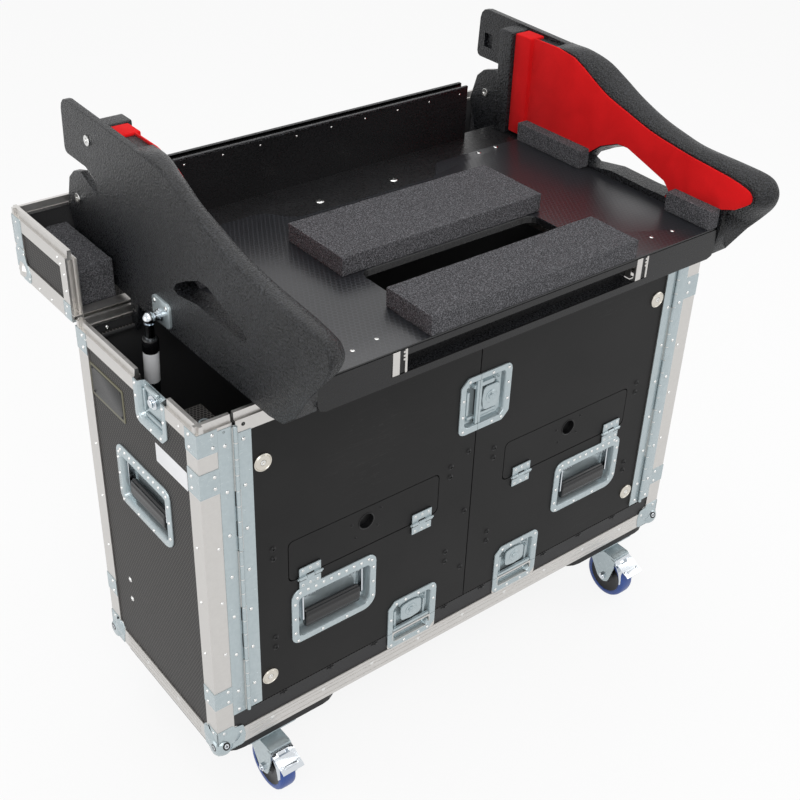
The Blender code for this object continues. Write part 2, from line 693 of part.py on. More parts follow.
def tray_panel(side):
    body = prism(tray_outline(), "X", side * TRAY_FELT, side * TRAY_OUTER) if side > 0 else \
        prism(tray_outline(), "X", side * TRAY_OUTER, side * TRAY_FELT)
    parts = [body] + tray_bar(side)
    arm = [(0.140, 0.700), (0.140, 0.690), (0.154, 0.640), (0.168, 0.640), (0.1695, 0.655),
           (0.1695, 0.700)]
    parts.append(prism(arm, "X", *sorted((side * 0.4405, side * TRAY_OUTER))))
    parts.append(cylinder("X", TRAY_PIVOT_Y, TRAY_PIVOT_Z, 0.0085, side * 0.4405, side * TRAY_OUTER))
    parts.append(box((side * (TRAY_OUTER - 0.001), side * 0.449), (0.036, 0.088), (0.696, 0.734)))
    parts.append(cylinder("X", BALL_Y, BALL_Z, 0.006, side * 0.448, side * 0.4624, 16))
    panel = weld(parts)
    holes = [prism(window_outline(), "X", *sorted((side * 0.38, side * 0.48))),
             cylinder("X", TRAY_PIVOT_Y, TRAY_PIVOT_Z, 0.0051, side * 0.40, side * 0.45),
             box((side * 0.38, side * 0.48), (0.316, 0.338), (0.893, 0.920))]
    return cut(panel, holes)


def tray_pan():
    reach = TRAY_FELT - GAP
    floor = box((-reach, reach), (TRAY_FRONT, 0.262), (0.752, TRAY_FLOOR))
    apron_outline = [(-reach, 0.762), (-reach, 0.724), (-reach + 0.004, 0.714), (-reach + 0.014, 0.710),
                     (reach - 0.014, 0.710), (reach - 0.004, 0.714), (reach, 0.724), (reach, 0.762)]
    apron = prism(apron_outline, "Y", TRAY_FRONT, TRAY_FRONT + 0.004)
    wall = box((-CHANNEL_REACH, CHANNEL_REACH), (0.243, 0.247), (0.755, 0.865))
    rear = box((-CHANNEL_REACH, CHANNEL_REACH), (0.2615, 0.268), (0.752, 0.865))
    shelf = box((-CHANNEL_REACH, CHANNEL_REACH), (0.243, 0.268), (0.835, 0.839))
    back = box((RAIL_X[LEFT] + RAIL_HALF + 0.0005, RAIL_X[RIGHT] - RAIL_HALF - 0.0005),
               (-0.278, -0.275), (0.7225, 0.755))
    pan = weld([floor, apron, wall, rear, shelf, back])
    opening = prism(rounded(-0.182, 0.186, -0.185, -0.083, 0.020), "Z", 0.7, 0.8)
    under = box((RAIL_X[LEFT] - RAIL_HALF - 0.001, RAIL_X[RIGHT] + RAIL_HALF + 0.001),
                (TRAY_FRONT - 0.01, TRAY_FRONT + 0.01), (0.7225, 0.7515))
    return cut(pan, [opening, under])


def tray_rail(side):
    """Slotted aluminium rail under the tray floor."""
    ends = (TRAY_FRONT + 0.011, 0.240)
    middle, through = RAIL_X[side], (-0.35, 0.30)
    outer = box((middle - RAIL_HALF, middle + RAIL_HALF), ends, (0.7235, 0.7505))
    hollow = box((middle - RAIL_HALF + 0.0015, middle + RAIL_HALF - 0.0015), through, (0.725, 0.749))
    slot = box((middle - 0.005, middle + 0.005), through, (0.70, 0.73))
    spine = box((middle - 0.011, middle + 0.011), ends, (0.7500, 0.7517))
    return weld([cut(outer, [hollow, slot]), spine])


def crowned_pad(xs, ys, zs):
    """Foam block with softened edges."""
    x0, x1 = sorted(xs)
    y0, y1 = sorted(ys)
    bm = bmesh.new()
    bmesh.ops.create_cube(bm, size=1.0)
    for vert in bm.verts:
        vert.co.x = x0 if vert.co.x < 0 else x1
        vert.co.y = y0 if vert.co.y < 0 else y1
        vert.co.z = zs[0] if vert.co.z < 0 else zs[1]
    bmesh.ops.bevel(bm, geom=bm.edges[:], offset=0.002, segments=2, affect="EDGES", profile=0.5)
    return from_bmesh(bm)


def strut_frame():
    """Length of the gas spring at rest and the matrix from its own frame (+Z up the rod)."""
    run, rise = BALL_Y - ANCHOR_Y, BALL_Z - ANCHOR_Z
    lean = atan2(-run, rise)
    return hypot(run, rise), Matrix.Translation((0, ANCHOR_Y, ANCHOR_Z)) @ Matrix.Rotation(lean, 4, "X")


def strut_rod(side):
    _, matrix = strut_frame()
    eye = cylinder("X", 0.0, 0.0, 0.009, side * 0.463, side * 0.477, 20)
    rod = cylinder("Z", side * STRUT_X, 0.0, 0.005, 0.006, 0.340, 16)
    hole = cylinder("X", 0.0, 0.0, 0.0043, side * 0.45, side * 0.49, 24)
    return turned(cut(weld([eye, rod]), [hole]), matrix)


def strut_body(side):
    length, matrix = strut_frame()
    barrel = cylinder("Z", side * STRUT_X, 0.0, 0.013, 0.190, length - 0.038, 24)
    neck = cylinder("Z", side * STRUT_X, 0.0, 0.006, length - 0.040, length - 0.004, 16)
    socket = cylinder("X", 0.0, length, 0.0095, side * 0.463, side * 0.480, 20)
    bore = cylinder("Z", side * STRUT_X, 0.0, 0.0056, 0.180, length - 0.044, 16)
    return turned(cut(weld([barrel, neck, socket]), [bore]), matrix)


def skid(side):
    outline = rounded(*sorted((side * 0.530, side * 0.275)), -0.184, 0.184, 0.045, 5)
    return prism(outline, "Z", SKID_BOTTOM, -GAP)


def caster_plate(x, y):
    plate = prism(rounded(x - 0.0525, x + 0.0525, y - 0.0415, y + 0.0415, 0.008, 3), "Z", -0.0196,
                  SKID_BOTTOM - GAP)
    boss = cylinder("Z", x, y, 0.027, -0.026, -0.019, 20)
    return weld([plate, boss])


def caster_fork(x, y, heading):
    """Swivel fork; heading is the sign of Y that the wheel trails towards."""
    axle_y, axle_z = y + heading * CASTER_TRAIL, WHEEL_RADIUS - CASTER_HEIGHT
    legs = [(-0.022, -0.034), (0.062, -0.034), (0.062, -0.044), (0.052, -0.100), (0.040, -0.108),
            (0.028, -0.102), (0.000, -0.060), (-0.022, -0.044)]
    outline = [(y + heading * v, z) for v, z in legs]
    parts = [cylinder("Z", x, y, 0.029, -0.038, -0.0263, 20),
             box((x - 0.0215, x + 0.0215), (y - heading * 0.022, y + heading * 0.062), (-0.038, -0.034)),
             cylinder("X", axle_y, axle_z, 0.006, x - 0.024, x + 0.024, 12)]
    for end in (-1, 1):
        parts.append(prism(outline, "X", *sorted((x + end * 0.0182, x + end * 0.0215))))
    return weld(parts)


def caster_wheel(x, y, heading):
    half = WHEEL_WIDTH / 2
    r = WHEEL_RADIUS
    dip = 0.004
    profile = [(-half, 0.0064), (-half, 0.018), (-half + dip, 0.022), (-half + dip, 0.036),
               (-half, 0.040), (-half, r - 0.005), (-half + 0.005, r), (half - 0.005, r),
               (half, r - 0.005), (half, 0.040), (half - dip, 0.036), (half - dip, 0.022),
               (half, 0.018), (half, 0.0064)]
    return lathe_x(profile, x, y + heading * CASTER_TRAIL, WHEEL_RADIUS - CASTER_HEIGHT, 24)


def brake_pedal(x, y, heading):
    root = y + heading * 0.0625
    lug = box((x - 0.0175, x + 0.0175), (y + heading * 0.055, y + heading * 0.066), PEDAL_LUG_Z)
    outline = [(root, PEDAL_LUG_Z[1]), (root, PEDAL_LUG_Z[0]),
               (y + heading * 0.104, -0.056), (y + heading * 0.106, -0.052)]
    plate = prism(outline, "X", x - 0.022, x + 0.022)
    slot = box((x - 0.012, x + 0.012), (y + heading * 0.074, y + heading * 0.084), (-0.08, -0.03))
    return cut(weld([lug, plate]), [slot])


def build_base(looks):
    finish("base_shell", base_shell(), looks["laminate"])
    finish("base_frame", base_frame(), looks["aluminium"])
    for side, word in ((LEFT, "left"), (RIGHT, "right")):
        face = Face(side)
        finish(f"skid_{word}", skid(side), looks["black"])
        finish(f"side_handle_dish_{word}", dish(face, *side_handle_area(), HANDLE_DEPTH), looks["zinc"])
        made, pivot = grip(face, 0.0, SIDE_HANDLE_Z)
        finish(f"side_handle_grip_{word}", made, looks["rubber"], pivot)
        finish(f"side_latch_{word}", dish(face, SIDE_LATCH_Y_INSET, SIDE_LATCH_Z, LATCH_DEPTH, open_top=True),
               looks["zinc"])


def build_doors(looks):
    for side, word in ((LEFT, "left"), (RIGHT, "right")):
        hinge = (side * HINGE_X, HINGE_Y, 0.0)
        finish(f"door_{word}", door(side), looks["black"], hinge)
        finish(f"door_trim_{word}", door_trim(side), looks["aluminium"], hinge)
        finish(f"flap_{word}", flap(side), looks["black"],
               (sum(FLAP_SPANS[side]) / 2, FLAP_HINGE_Y, FLAP_HINGE_Z))
        finish(f"door_handle_dish_{word}", dish(FRONT, *door_handle_area(side), HANDLE_DEPTH),
               looks["zinc"], hinge)
        made, pivot = grip(FRONT, side * DOOR_HANDLE_X, DOOR_HANDLE_Z)
        finish(f"door_handle_grip_{word}", made, looks["rubber"], pivot)
        span = bottom_latch_span(side)
        finish(f"bottom_latch_dish_{word}",
               dish(FRONT, span, (DOOR_BOTTOM, BOTTOM_LATCH_Z[1]), LATCH_DEPTH, open_bottom=True),
               looks["zinc"], hinge)
        centre = BOTTOM_LATCH_X[side]
        finish(f"bottom_latch_wing_{word}", wing(FRONT, centre, 0.104, 0.046, 0.028), looks["zinc"],
               FRONT.point(centre, 0.104, 0.0))
    hinge = (HINGE_X, HINGE_Y, 0.0)
    finish("top_latch_dish", dish(FRONT, (DOOR_EDGE, TOP_LATCH[1]), TOP_LATCH[2:], LATCH_DEPTH,
                                  open_left=True), looks["zinc"], hinge)
    finish("top_latch_keeper", dish(FRONT, (TOP_LATCH[0], -DOOR_EDGE), TOP_LATCH[2:], LATCH_DEPTH,
                                    open_right=True), looks["zinc"], (-HINGE_X, HINGE_Y, 0.0))
    finish("top_latch_wing", wing(FRONT, 0.030, 0.508, 0.028, 0.046), looks["zinc"],
           FRONT.point(0.030, 0.508, 0.0))


def build_lid(looks):
    hinge = (0.0, LID_AXIS_Y, LID_AXIS_Z)
    finish("lid_shell", lid_shell(), looks["laminate"], hinge)
    finish("lid_frame", lid_frame(), looks["aluminium"], hinge)
    for side, word in ((LEFT, "left"), (RIGHT, "right")):
        finish(f"lid_foam_{word}", lid_foam(side), looks["foam"], hinge)


def build_tray(looks):
    pivot = (0.0, TRAY_PIVOT_Y, TRAY_PIVOT_Z)
    finish("tray_pan", tray_pan(), looks["black"], pivot)
    bed = TRAY_FLOOR + LINER + GAP
    finish("foam_front", crowned_pad((-PAD_HALF, PAD_HALF), (TRAY_FRONT + 0.001, -0.192), (bed, PAD_TOP)),
           looks["foam"], pivot)
    finish("foam_rear", crowned_pad((-PAD_HALF, PAD_HALF - 0.008), (-0.083, 0.065), (bed, PAD_TOP)),
           looks["foam"], pivot)
    for side, word in ((LEFT, "left"), (RIGHT, "right")):
        finish(f"tray_panel_{word}", tray_panel(side), looks["black"], pivot)
        finish(f"tray_rail_{word}", tray_rail(side), looks["aluminium"], pivot)
        inner, outer = side * 0.385, side * (TRAY_FELT - GAP)
        finish(f"side_foam_front_{word}", crowned_pad((inner, outer), (-0.299, -0.200), (bed, 0.800)),
               looks["foam"], pivot)
        finish(f"side_foam_rear_{word}", crowned_pad((inner, outer), (0.007, 0.175), (bed, 0.800)),
               looks["foam"], pivot)
        anchor = (side * STRUT_X, ANCHOR_Y, ANCHOR_Z)
        finish(f"gas_spring_rod_{word}", strut_rod(side), looks["zinc"], anchor)
        finish(f"gas_spring_body_{word}", strut_body(side), looks["black"], anchor)


def build_casters(looks):
    for side, word in ((LEFT, "left"), (RIGHT, "right")):
        for heading, place_word in ((-1, "front"), (1, "rear")):
            x, y = side * CASTER_X, heading * CASTER_Y
            tag = f"{place_word}_{word}"
            axle = (x, y + heading * CASTER_TRAIL, WHEEL_RADIUS - CASTER_HEIGHT)
            finish(f"caster_plate_{tag}", caster_plate(x, y), looks["zinc"], (x, y, 0.0))
            finish(f"caster_fork_{tag}", caster_fork(x, y, heading), looks["zinc"], (x, y, 0.0))
            finish(f"caster_wheel_{tag}", caster_wheel(x, y, heading), looks["wheel"], axle)
            if heading < 0:
                finish(f"brake_pedal_{word}", brake_pedal(x, y, heading), looks["zinc"],
                       (x, y + heading * 0.0605, -0.0405))


def main():
    clear_scene()
    looks = {"laminate": material("laminate", (0.03, 0.03, 0.032), 0.45, 0.0),
             "aluminium": material("aluminium", (0.78, 0.79, 0.80), 0.35, 1.0),
             "zinc": material("zinc", (0.72, 0.78, 0.82), 0.28, 1.0),
             "black": material("black", (0.015, 0.015, 0.017), 0.5, 0.0),
             "rubber": material("rubber", (0.02, 0.02, 0.02), 0.7, 0.0),
             "foam": material("foam", (0.04, 0.04, 0.042), 0.95, 0.0),
             "wheel": material("wheel", (0.02, 0.07, 0.35), 0.4, 0.0)}
    build_base(looks)
    build_doors(looks)
    build_lid(looks)
    build_tray(looks)
    build_casters(looks)


main()
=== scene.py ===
"""Mixer flight case: its finishes, fittings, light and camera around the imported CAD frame.

The case's own table of sizes counts from the middle of the base box and from its underside.
LIFT carries that table to the floor frame, in which the wheels stand on z = 0.
"""

import logging
from dataclasses import dataclass
from enum import Enum
from math import cos, pi, radians, sin, sqrt, tan
from typing import Sequence

import bmesh
import bpy
from mathutils import Matrix, Vector, noise


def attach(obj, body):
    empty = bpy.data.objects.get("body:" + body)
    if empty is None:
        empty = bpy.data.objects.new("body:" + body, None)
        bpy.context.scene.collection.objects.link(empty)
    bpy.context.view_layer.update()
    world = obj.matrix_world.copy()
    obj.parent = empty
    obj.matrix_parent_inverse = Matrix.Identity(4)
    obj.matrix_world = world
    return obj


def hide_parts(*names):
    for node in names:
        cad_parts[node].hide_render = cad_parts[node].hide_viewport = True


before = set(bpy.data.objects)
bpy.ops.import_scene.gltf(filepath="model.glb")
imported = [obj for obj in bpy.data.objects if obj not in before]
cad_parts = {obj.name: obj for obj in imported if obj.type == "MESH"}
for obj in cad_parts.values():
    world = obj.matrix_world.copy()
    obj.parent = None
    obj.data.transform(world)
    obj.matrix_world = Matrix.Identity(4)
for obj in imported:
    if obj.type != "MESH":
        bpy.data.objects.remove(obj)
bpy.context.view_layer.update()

LOG = logging.getLogger("flight_case")
LIFT = Vector((0.0, -0.004, 0.1443))
IDENTITY = Matrix.Identity(4)
MIDDLE = Vector((0.0, 0.0, 0.55))
SENSOR_WIDTH = 36.0
FLOOR_REACH = 9.0

# How far the aluminium stands out of the panels, and the gap at each end of a knuckle.
SKIN = 0.0023
GAP = 0.0004

# Radius and height of the rivets round the dishes.
DISH_RIVET = (0.0030, 0.0018)

# Eased edge and mesh step of the foam blocks, then frequency, height and seed of their unevenness.
FOAM_EASE, FOAM_STEP = 0.0018, 0.008
FOAM_WAVES, FOAM_RIPPLE, FOAM_SEED = 38.0, 0.0005, 11

Point = tuple[float, float]
Spot = tuple[float, float, float]
Outline = list[Point]
Colour = tuple[float, float, float]

# What scuffs, dust and fine scratches turn a surface's colour into.
SCUFF: Colour = (0.2, 0.2, 0.2)
DUST: Colour = (0.22, 0.22, 0.23)
SCRATCH: Colour = (0.45, 0.45, 0.45)


class Side(Enum):
    """The two sides of the case, seen from the doors."""

    LEFT = -1
    RIGHT = 1

    @property
    def word(self) -> str:
        """The side's name as it stands in the names of nodes and bodies."""
        return self.name.lower()

    def span(self, near: float, far: float) -> Point:
        """Two distances from the middle as world x on this side, lowest first."""
        return min(self.value * near, self.value * far), max(self.value * near, self.value * far)


class Wall(Enum):
    """An upright face of the base box, seen from outside."""

    FRONT = "front"
    LEFT = "left"
    RIGHT = "right"
    REAR = "rear"

    @property
    def matrix(self) -> Matrix:
        """Frame with u to the viewer's right, v up and h out of the panel's face."""
        deep, wide = 0.1837, 0.5337
        columns = {
            Wall.FRONT: ((1, 0, 0), (0, 0, 1), (0, -1, 0), (0, -deep, 0)),
            Wall.LEFT: ((0, -1, 0), (0, 0, 1), (-1, 0, 0), (-wide, 0, 0)),
            Wall.RIGHT: ((0, 1, 0), (0, 0, 1), (1, 0, 0), (wide, 0, 0)),
            Wall.REAR: ((-1, 0, 0), (0, 0, 1), (0, 1, 0), (0, deep, 0)),
        }[self]
        return basis(*columns)

    def along(self, coordinate: float) -> float:
        """The u of a world x on the front or rear, or of a world y on a side."""
        return -coordinate if self in (Wall.LEFT, Wall.REAR) else coordinate


WALL_OF = {Side.LEFT: Wall.LEFT, Side.RIGHT: Wall.RIGHT}


class Look(Enum):
    """A finish, with the record's material slot that it belongs to."""

    LAMINATE = "laminate"
    ALUMINIUM = "aluminium"
    BOARD = "black_board"
    MOULDED = "tray_black"
    SHEET = "tray_black.sheet"
    LINER = "tray_black.liner"
    FOAM = "foam"
    ZINC = "zinc"
    CHROME = "zinc.chrome"
    NICKEL = "zinc.nickel"
    WHITE_STEEL = "zinc.white"
    RUBBER = "rubber"
    FELT = "foam.felt"
    SPRING = "spring_black"
    PAPER = "laminate.paper"
    PLATE = "laminate.plate"
    # Black steel of real dark screws and fittings, also laid as painted shade in hinge gaps, rail
    # slots and screw recesses.
    BLACK_STEEL_AND_SHADE = "black_board.shadow"
    SKID = "black_board.skid"
    TREAD = "wheel_blue"
    HUB = "wheel_blue.hub"

    @property
    def slot(self) -> str:
        """The record's slot name."""
        return self.value.split(".")[0]


def basis(first: Spot, second: Spot, third: Spot, origin: Spot) -> Matrix:
    """Build a matrix from three axes and an origin in the case's own table.

    Args:
        first: Direction of u.
        second: Direction of v.
        third: Direction of h.
        origin: Where u, v and h are 0.

    Returns:
        The matrix, with the lift to the floor frame in it.
    """
    made = Matrix((first, second, third)).transposed().to_4x4()
    made.translation = Vector(origin) + LIFT
    return made


def shift(u: float, v: float, h: float = 0.0) -> Matrix:
    """Return a move by u, v and h."""
    return Matrix.Translation((u, v, h))


def level_at(x: float, y: float, z: float) -> Matrix:
    """Return a level frame at a spot of the case's own table."""
    return basis((1, 0, 0), (0, 1, 0), (0, 0, 1), (x, y, z))


def facing_front(x: float, y: float) -> Matrix:
    """Return an upright frame: u is x, v is z, h runs to the front from y."""
    return basis((1, 0, 0), (0, 0, 1), (0, -1, 0), (x, y, 0.0))


def facing_side(sign: int, x: float, y: float = 0.0, z: float = 0.0) -> Matrix:
    """Return an upright frame: u is y, v is z, h runs along sign times x."""
    return basis((0, 1, 0), (0, 0, 1), (sign, 0, 0), (x, y, z))


def crosswise(sign: int = 1, v: float = 0.0, h: float = 0.0) -> Matrix:
    """Return a turn that lays h along sign times u, from an origin at v and h."""
    return Matrix(((0, 0, sign, 0), (1, 0, 0, v), (0, 1, 0, h), (0, 0, 0, 1)))


LEVEL = level_at(0.0, 0.0, 0.0)


def knuckle(radius: float, low: float, high: float, ease: float = 0.0005) -> list[Point]:
    """Return the profile of a hinge knuckle with eased ends."""
    return [(radius - ease, low), (radius, low + ease), (radius, high - ease),
            (radius - ease, high)]


def circle(radius: float, count: int = 24, centre: Point = (0.0, 0.0)) -> Outline:
    """Return points round a circle, counterclockwise."""
    turns = [2 * pi * i / count for i in range(count)]
    return [(centre[0] + radius * cos(t), centre[1] + radius * sin(t)) for t in turns]


def fillet(corners: Sequence[Point], radii: Sequence[float], steps: int = 5) -> Outline:
    """Round the corners of a polygon.

    Args:
        corners: The polygon, counterclockwise.
        radii: One radius per corner.
        steps: Faces per corner.

    Returns:
        The rounded outline, with steps + 1 points per corner.
    """
    points: Outline = []
    count = len(corners)
    for i, (corner, radius) in enumerate(zip(corners, radii)):
        here = Vector(corner)
        back = (Vector(corners[i - 1]) - here).normalized()
        ahead = (Vector(corners[(i + 1) % count]) - here).normalized()
        half = back.angle(ahead) / 2
        reach = radius / tan(half)
        centre = here + (back + ahead).normalized() * radius / sin(half)
        start, end = here + back * reach - centre, here + ahead * reach - centre
        for k in range(steps + 1):
            points.append(tuple(centre + start.slerp(end, k / steps) * radius))
    return points


def rounded(u0: float, u1: float, v0: float, v1: float, radius: float, steps: int = 5) -> Outline:
    """Return a rectangle with round corners, counterclockwise."""
    return fillet([(u0, v0), (u1, v0), (u1, v1), (u0, v1)], [radius] * 4, steps)


def inset(outline: Outline, depth: float) -> Outline:
    """Move every edge of a counterclockwise outline inwards.

    Args:
        outline: The outline.
        depth: How far its edges move, outwards where negative.

    Returns:
        An outline with as many points.
    """
    made: Outline = []
    count = len(outline)
    for i, point in enumerate(outline):
        here = Vector(point)
        a = (here - Vector(outline[i - 1])).normalized()
        b = (Vector(outline[(i + 1) % count]) - here).normalized()
        inward = Vector((-(a.y + b.y), a.x + b.x)).normalized()
        cosine = max(inward.dot(Vector((-a.y, a.x))), 0.35)
        made.append(tuple(here + inward * depth / cosine))
    return made


def smooth_path(points: Sequence[Spot], steps: int = 6) -> list[Vector]:
    """Return a Catmull-Rom curve through the given points."""
    padded = [points[0], *points, points[-1]]
    made: list[Vector] = []
    for group in zip(padded, padded[1:], padded[2:], padded[3:]):
        a, b, c, d = (Vector(p) for p in group)
        for i in range(steps):
            t = i / steps
            made.append(0.5 * (2 * b + (c - a) * t + (2 * a - 5 * b + 4 * c - d) * t * t
                               + (3 * b - a - 3 * c + d) * t ** 3))
    made.append(Vector(points[-1]))
    return made


class Form:
    """Solids that grow into one mesh."""

    def __init__(self) -> None:
        """Start with nothing."""
        self.points: list[Vector] = []
        self.faces: list[tuple[int, ...]] = []

    def loft(self, rings: Sequence[Sequence[Spot]], matrix: Matrix = IDENTITY,
             closed: bool = False) -> "Form":
        """Join rings of equal length.

        Args:
            rings: The rings in order.
            matrix: Where they go.
            closed: True where the last ring joins the first one and no end is capped.

        Returns:
            This form.
        """
        start, size, total = len(self.points), len(rings[0]), len(rings)
        for ring in rings:
            self.points.extend(matrix @ Vector(p) for p in ring)
        for row in range(total if closed else total - 1):
            here, there = start + row * size, start + (row + 1) % total * size
            for k in range(size):
                m = (k + 1) % size
                self.faces.append((here + k, here + m, there + m, there + k))
        if not closed:
            last = start + (total - 1) * size
            self.faces.append(tuple(range(start + size - 1, start - 1, -1)))
            self.faces.append(tuple(range(last, last + size)))
        return self

    def slab(self, outline: Outline, low: float, high: float, edge: float = 0.0,
             matrix: Matrix = IDENTITY) -> "Form":
        """Raise an outline from low to high, with its upper edge rounded by edge."""
        levels = [(0.0, low), (0.0, high - edge)]
        if edge:
            levels += [(edge * 0.3, high - edge * 0.3), (edge, high)]
        return self.layers(outline, levels, matrix)

    def layers(self, outline: Outline, levels: Sequence[Point],
               matrix: Matrix = IDENTITY) -> "Form":
        """Loft an outline through levels of (inset, height)."""
        return self.loft([[(u, v, h) for u, v in inset(outline, d)] for d, h in levels], matrix)

    def turn(self, profile: Sequence[Point], matrix: Matrix = IDENTITY, count: int = 20,
             closed: bool = False) -> "Form":
        """Turn (radius, height) pairs about the h axis."""
        rings = [[(*p, h) for p in circle(max(r, 1e-5), count)] for r, h in profile]
        return self.loft(rings, matrix, closed)

    def tube(self, path: Sequence[Vector], radius: float | Sequence[float], sides: int = 10,
             matrix: Matrix = IDENTITY) -> "Form":
        """Sweep a circle along a path with its ends capped."""
        spots = [Vector(p) for p in path]
        sizes = [radius] * len(spots) if isinstance(radius, float) else list(radius)
        tangent = (spots[1] - spots[0]).normalized()
        across = tangent.orthogonal().normalized()
        rings = []
        for i, spot in enumerate(spots):
            ahead = spots[min(i + 1, len(spots) - 1)] - spots[max(i - 1, 0)]
            across = tangent.rotation_difference(ahead.normalized()) @ across
            tangent = ahead.normalized()
            upper = tangent.cross(across)
            rings.append([spot + sizes[i] * (across * u + upper * v)
                          for u, v in circle(1.0, sides)])
        return self.loft(rings, matrix)

    def box(self, us: Point, vs: Point, hs: Point, edge: float = 0.0,
            matrix: Matrix = IDENTITY) -> "Form":
        """Add a block with its upper edges eased."""
        outline = [(us[0], vs[0]), (us[1], vs[0]), (us[1], vs[1]), (us[0], vs[1])]
        return self.slab(outline, hs[0], hs[1], edge, matrix)

    def stamp(self, other: "Form", matrix: Matrix = IDENTITY) -> "Form":
        """Add a copy of another form."""
        start = len(self.points)
        self.points.extend(matrix @ p for p in other.points)
        self.faces.extend(tuple(start + i for i in face) for face in other.faces)
        return self

    def absorb(self, mesh: bpy.types.Mesh, matrix: Matrix = IDENTITY) -> "Form":
        """Add a copy of a mesh."""
        start = len(self.points)
        self.points.extend(matrix @ v.co for v in mesh.vertices)
        self.faces.extend(tuple(start + i for i in face.vertices) for face in mesh.polygons)
        return self

    def mesh(self, name: str) -> bpy.types.Mesh:
        """Return the form as a mesh whose normals point out."""
        made = bpy.data.meshes.new(name)
        made.from_pydata([tuple(p) for p in self.points], [], self.faces)
        bm = bmesh.new()
        bm.from_mesh(made)
        bmesh.ops.remove_doubles(bm, verts=bm.verts, dist=1e-6)
        bmesh.ops.recalc_face_normals(bm, faces=bm.faces)
        bm.to_mesh(made)
        bm.free()
        return made


def rivet(radius: float, height: float, count: int = 12) -> Form:
    """Return a domed rivet head that stands on h = 0."""
    steps = [(1.0, -0.3), (1.0, 0.05), (0.9, 0.45), (0.68, 0.8), (0.35, 0.98), (0.1, 1.0)]
    return Form().turn([(radius * r, height * h) for r, h in steps], count=count)


def cross_screw(radius: float, height: float, sunk: bool = False) -> Form:
    """Return a screw head with a cross recess.

    Args:
        radius: Radius of the head.
        height: How far it stands out.
        sunk: True for a flat countersunk head.

    Returns:
        The head, standing on h = 0.
    """
    count = 24
    slant = sin(radians(15)) / cos(radians(15))
    shape = [(1.0, -0.5), (1.0, 0.7), (0.94, 1.0), (0.62, 1.0)] if sunk else \
        [(1.0, -0.4), (1.0, 0.15), (0.88, 0.6), (0.62, 0.9)]
    rings = [[(*p, height * h) for p in circle(radius * r, count)] for r, h in shape]
    arm = 0.56 * radius
    top, floor = (1.0 if sunk else 0.97), -0.35
    for level in (top, floor):
        ring = []
        for i in range(count):
            turn = 2 * pi * i / count
            folded = abs((turn + pi / 4) % (pi / 2) - pi / 4)
            reach = arm / cos(folded) if tan(folded) <= slant + 1e-6 else arm * slant / sin(folded)
            ring.append((reach * cos(turn), reach * sin(turn), height * level))
        rings.append(ring)
    return Form().loft(rings)


def heads(template: Form, wall: Matrix, spots: Sequence[Point], height: float) -> Form:
    """Set one head at each spot of a wall."""
    made = Form()
    for i, (u, v) in enumerate(spots):
        made.stamp(template, wall @ shift(u, v, height) @ Matrix.Rotation(0.7 * i, 4, "Z"))
    return made


class Graph:
    """Adds shader nodes to one tree and wires them."""

    def __init__(self, tree: bpy.types.NodeTree) -> None:
        """Hold the tree."""
        self.tree = tree

    def add(self, kind: str, inputs: dict | None = None, **settings: object) -> bpy.types.Node:
        """Add a node.

        Args:
            kind: The node's type, without its ShaderNode prefix.
            inputs: Values or sockets by input name or index.
            settings: Properties of the node.

        Returns:
            The node.
        """
        node = self.tree.nodes.new(f"ShaderNode{kind}")
        for key, value in settings.items():
            setattr(node, key, value)
        for key, value in (inputs or {}).items():
            if isinstance(value, bpy.types.NodeSocket):
                self.tree.links.new(value, node.inputs[key])
            else:
                node.inputs[key].default_value = value
        return node

    def math(self, operation: str, a: object, b: object = 0.0,
             c: object = 0.0) -> bpy.types.NodeSocket:
        """Return the result of a Math node."""
        return self.add("Math", {0: a, 1: b, 2: c}, operation=operation).outputs[0]

    def vector(self, operation: str, *parts: object) -> bpy.types.Node:
        """Return a Vector Math node."""
        return self.add("VectorMath", dict(enumerate(parts)), operation=operation)

    def between(self, value: object, low: float, high: float, out_low: float = 0.0,
                out_high: float = 1.0) -> bpy.types.NodeSocket:
        """Return value mapped from low..high to out_low..out_high, held at the ends."""
        inputs = {0: value, 1: low, 2: high, 3: out_low, 4: out_high}
        return self.add("MapRange", inputs, clamp=True).outputs[0]

    def tint(self, factor: object, first: object, second: object) -> bpy.types.NodeSocket:
        """Return a colour between two colours."""
        sides = {0: factor}
        for index, colour in ((6, first), (7, second)):
            sides[index] = (*colour, 1.0) if isinstance(colour, tuple) else colour
        return self.add("Mix", sides, data_type="RGBA").outputs[2]

    def noise(self, scale: float, detail: float = 2.0, vector: object = None,
              roughness: float = 0.5) -> bpy.types.NodeSocket:
        """Return plain noise over the surface's own coordinates."""
        spot = vector if vector is not None else self.spot()
        inputs = {"Vector": spot, "Scale": scale, "Detail": detail, "Roughness": roughness}
        return self.add("TexNoise", inputs).outputs["Fac"]

    def spot(self) -> bpy.types.NodeSocket:
        """Return the surface's object coordinates."""
        return self.add("TexCoord").outputs["Object"]


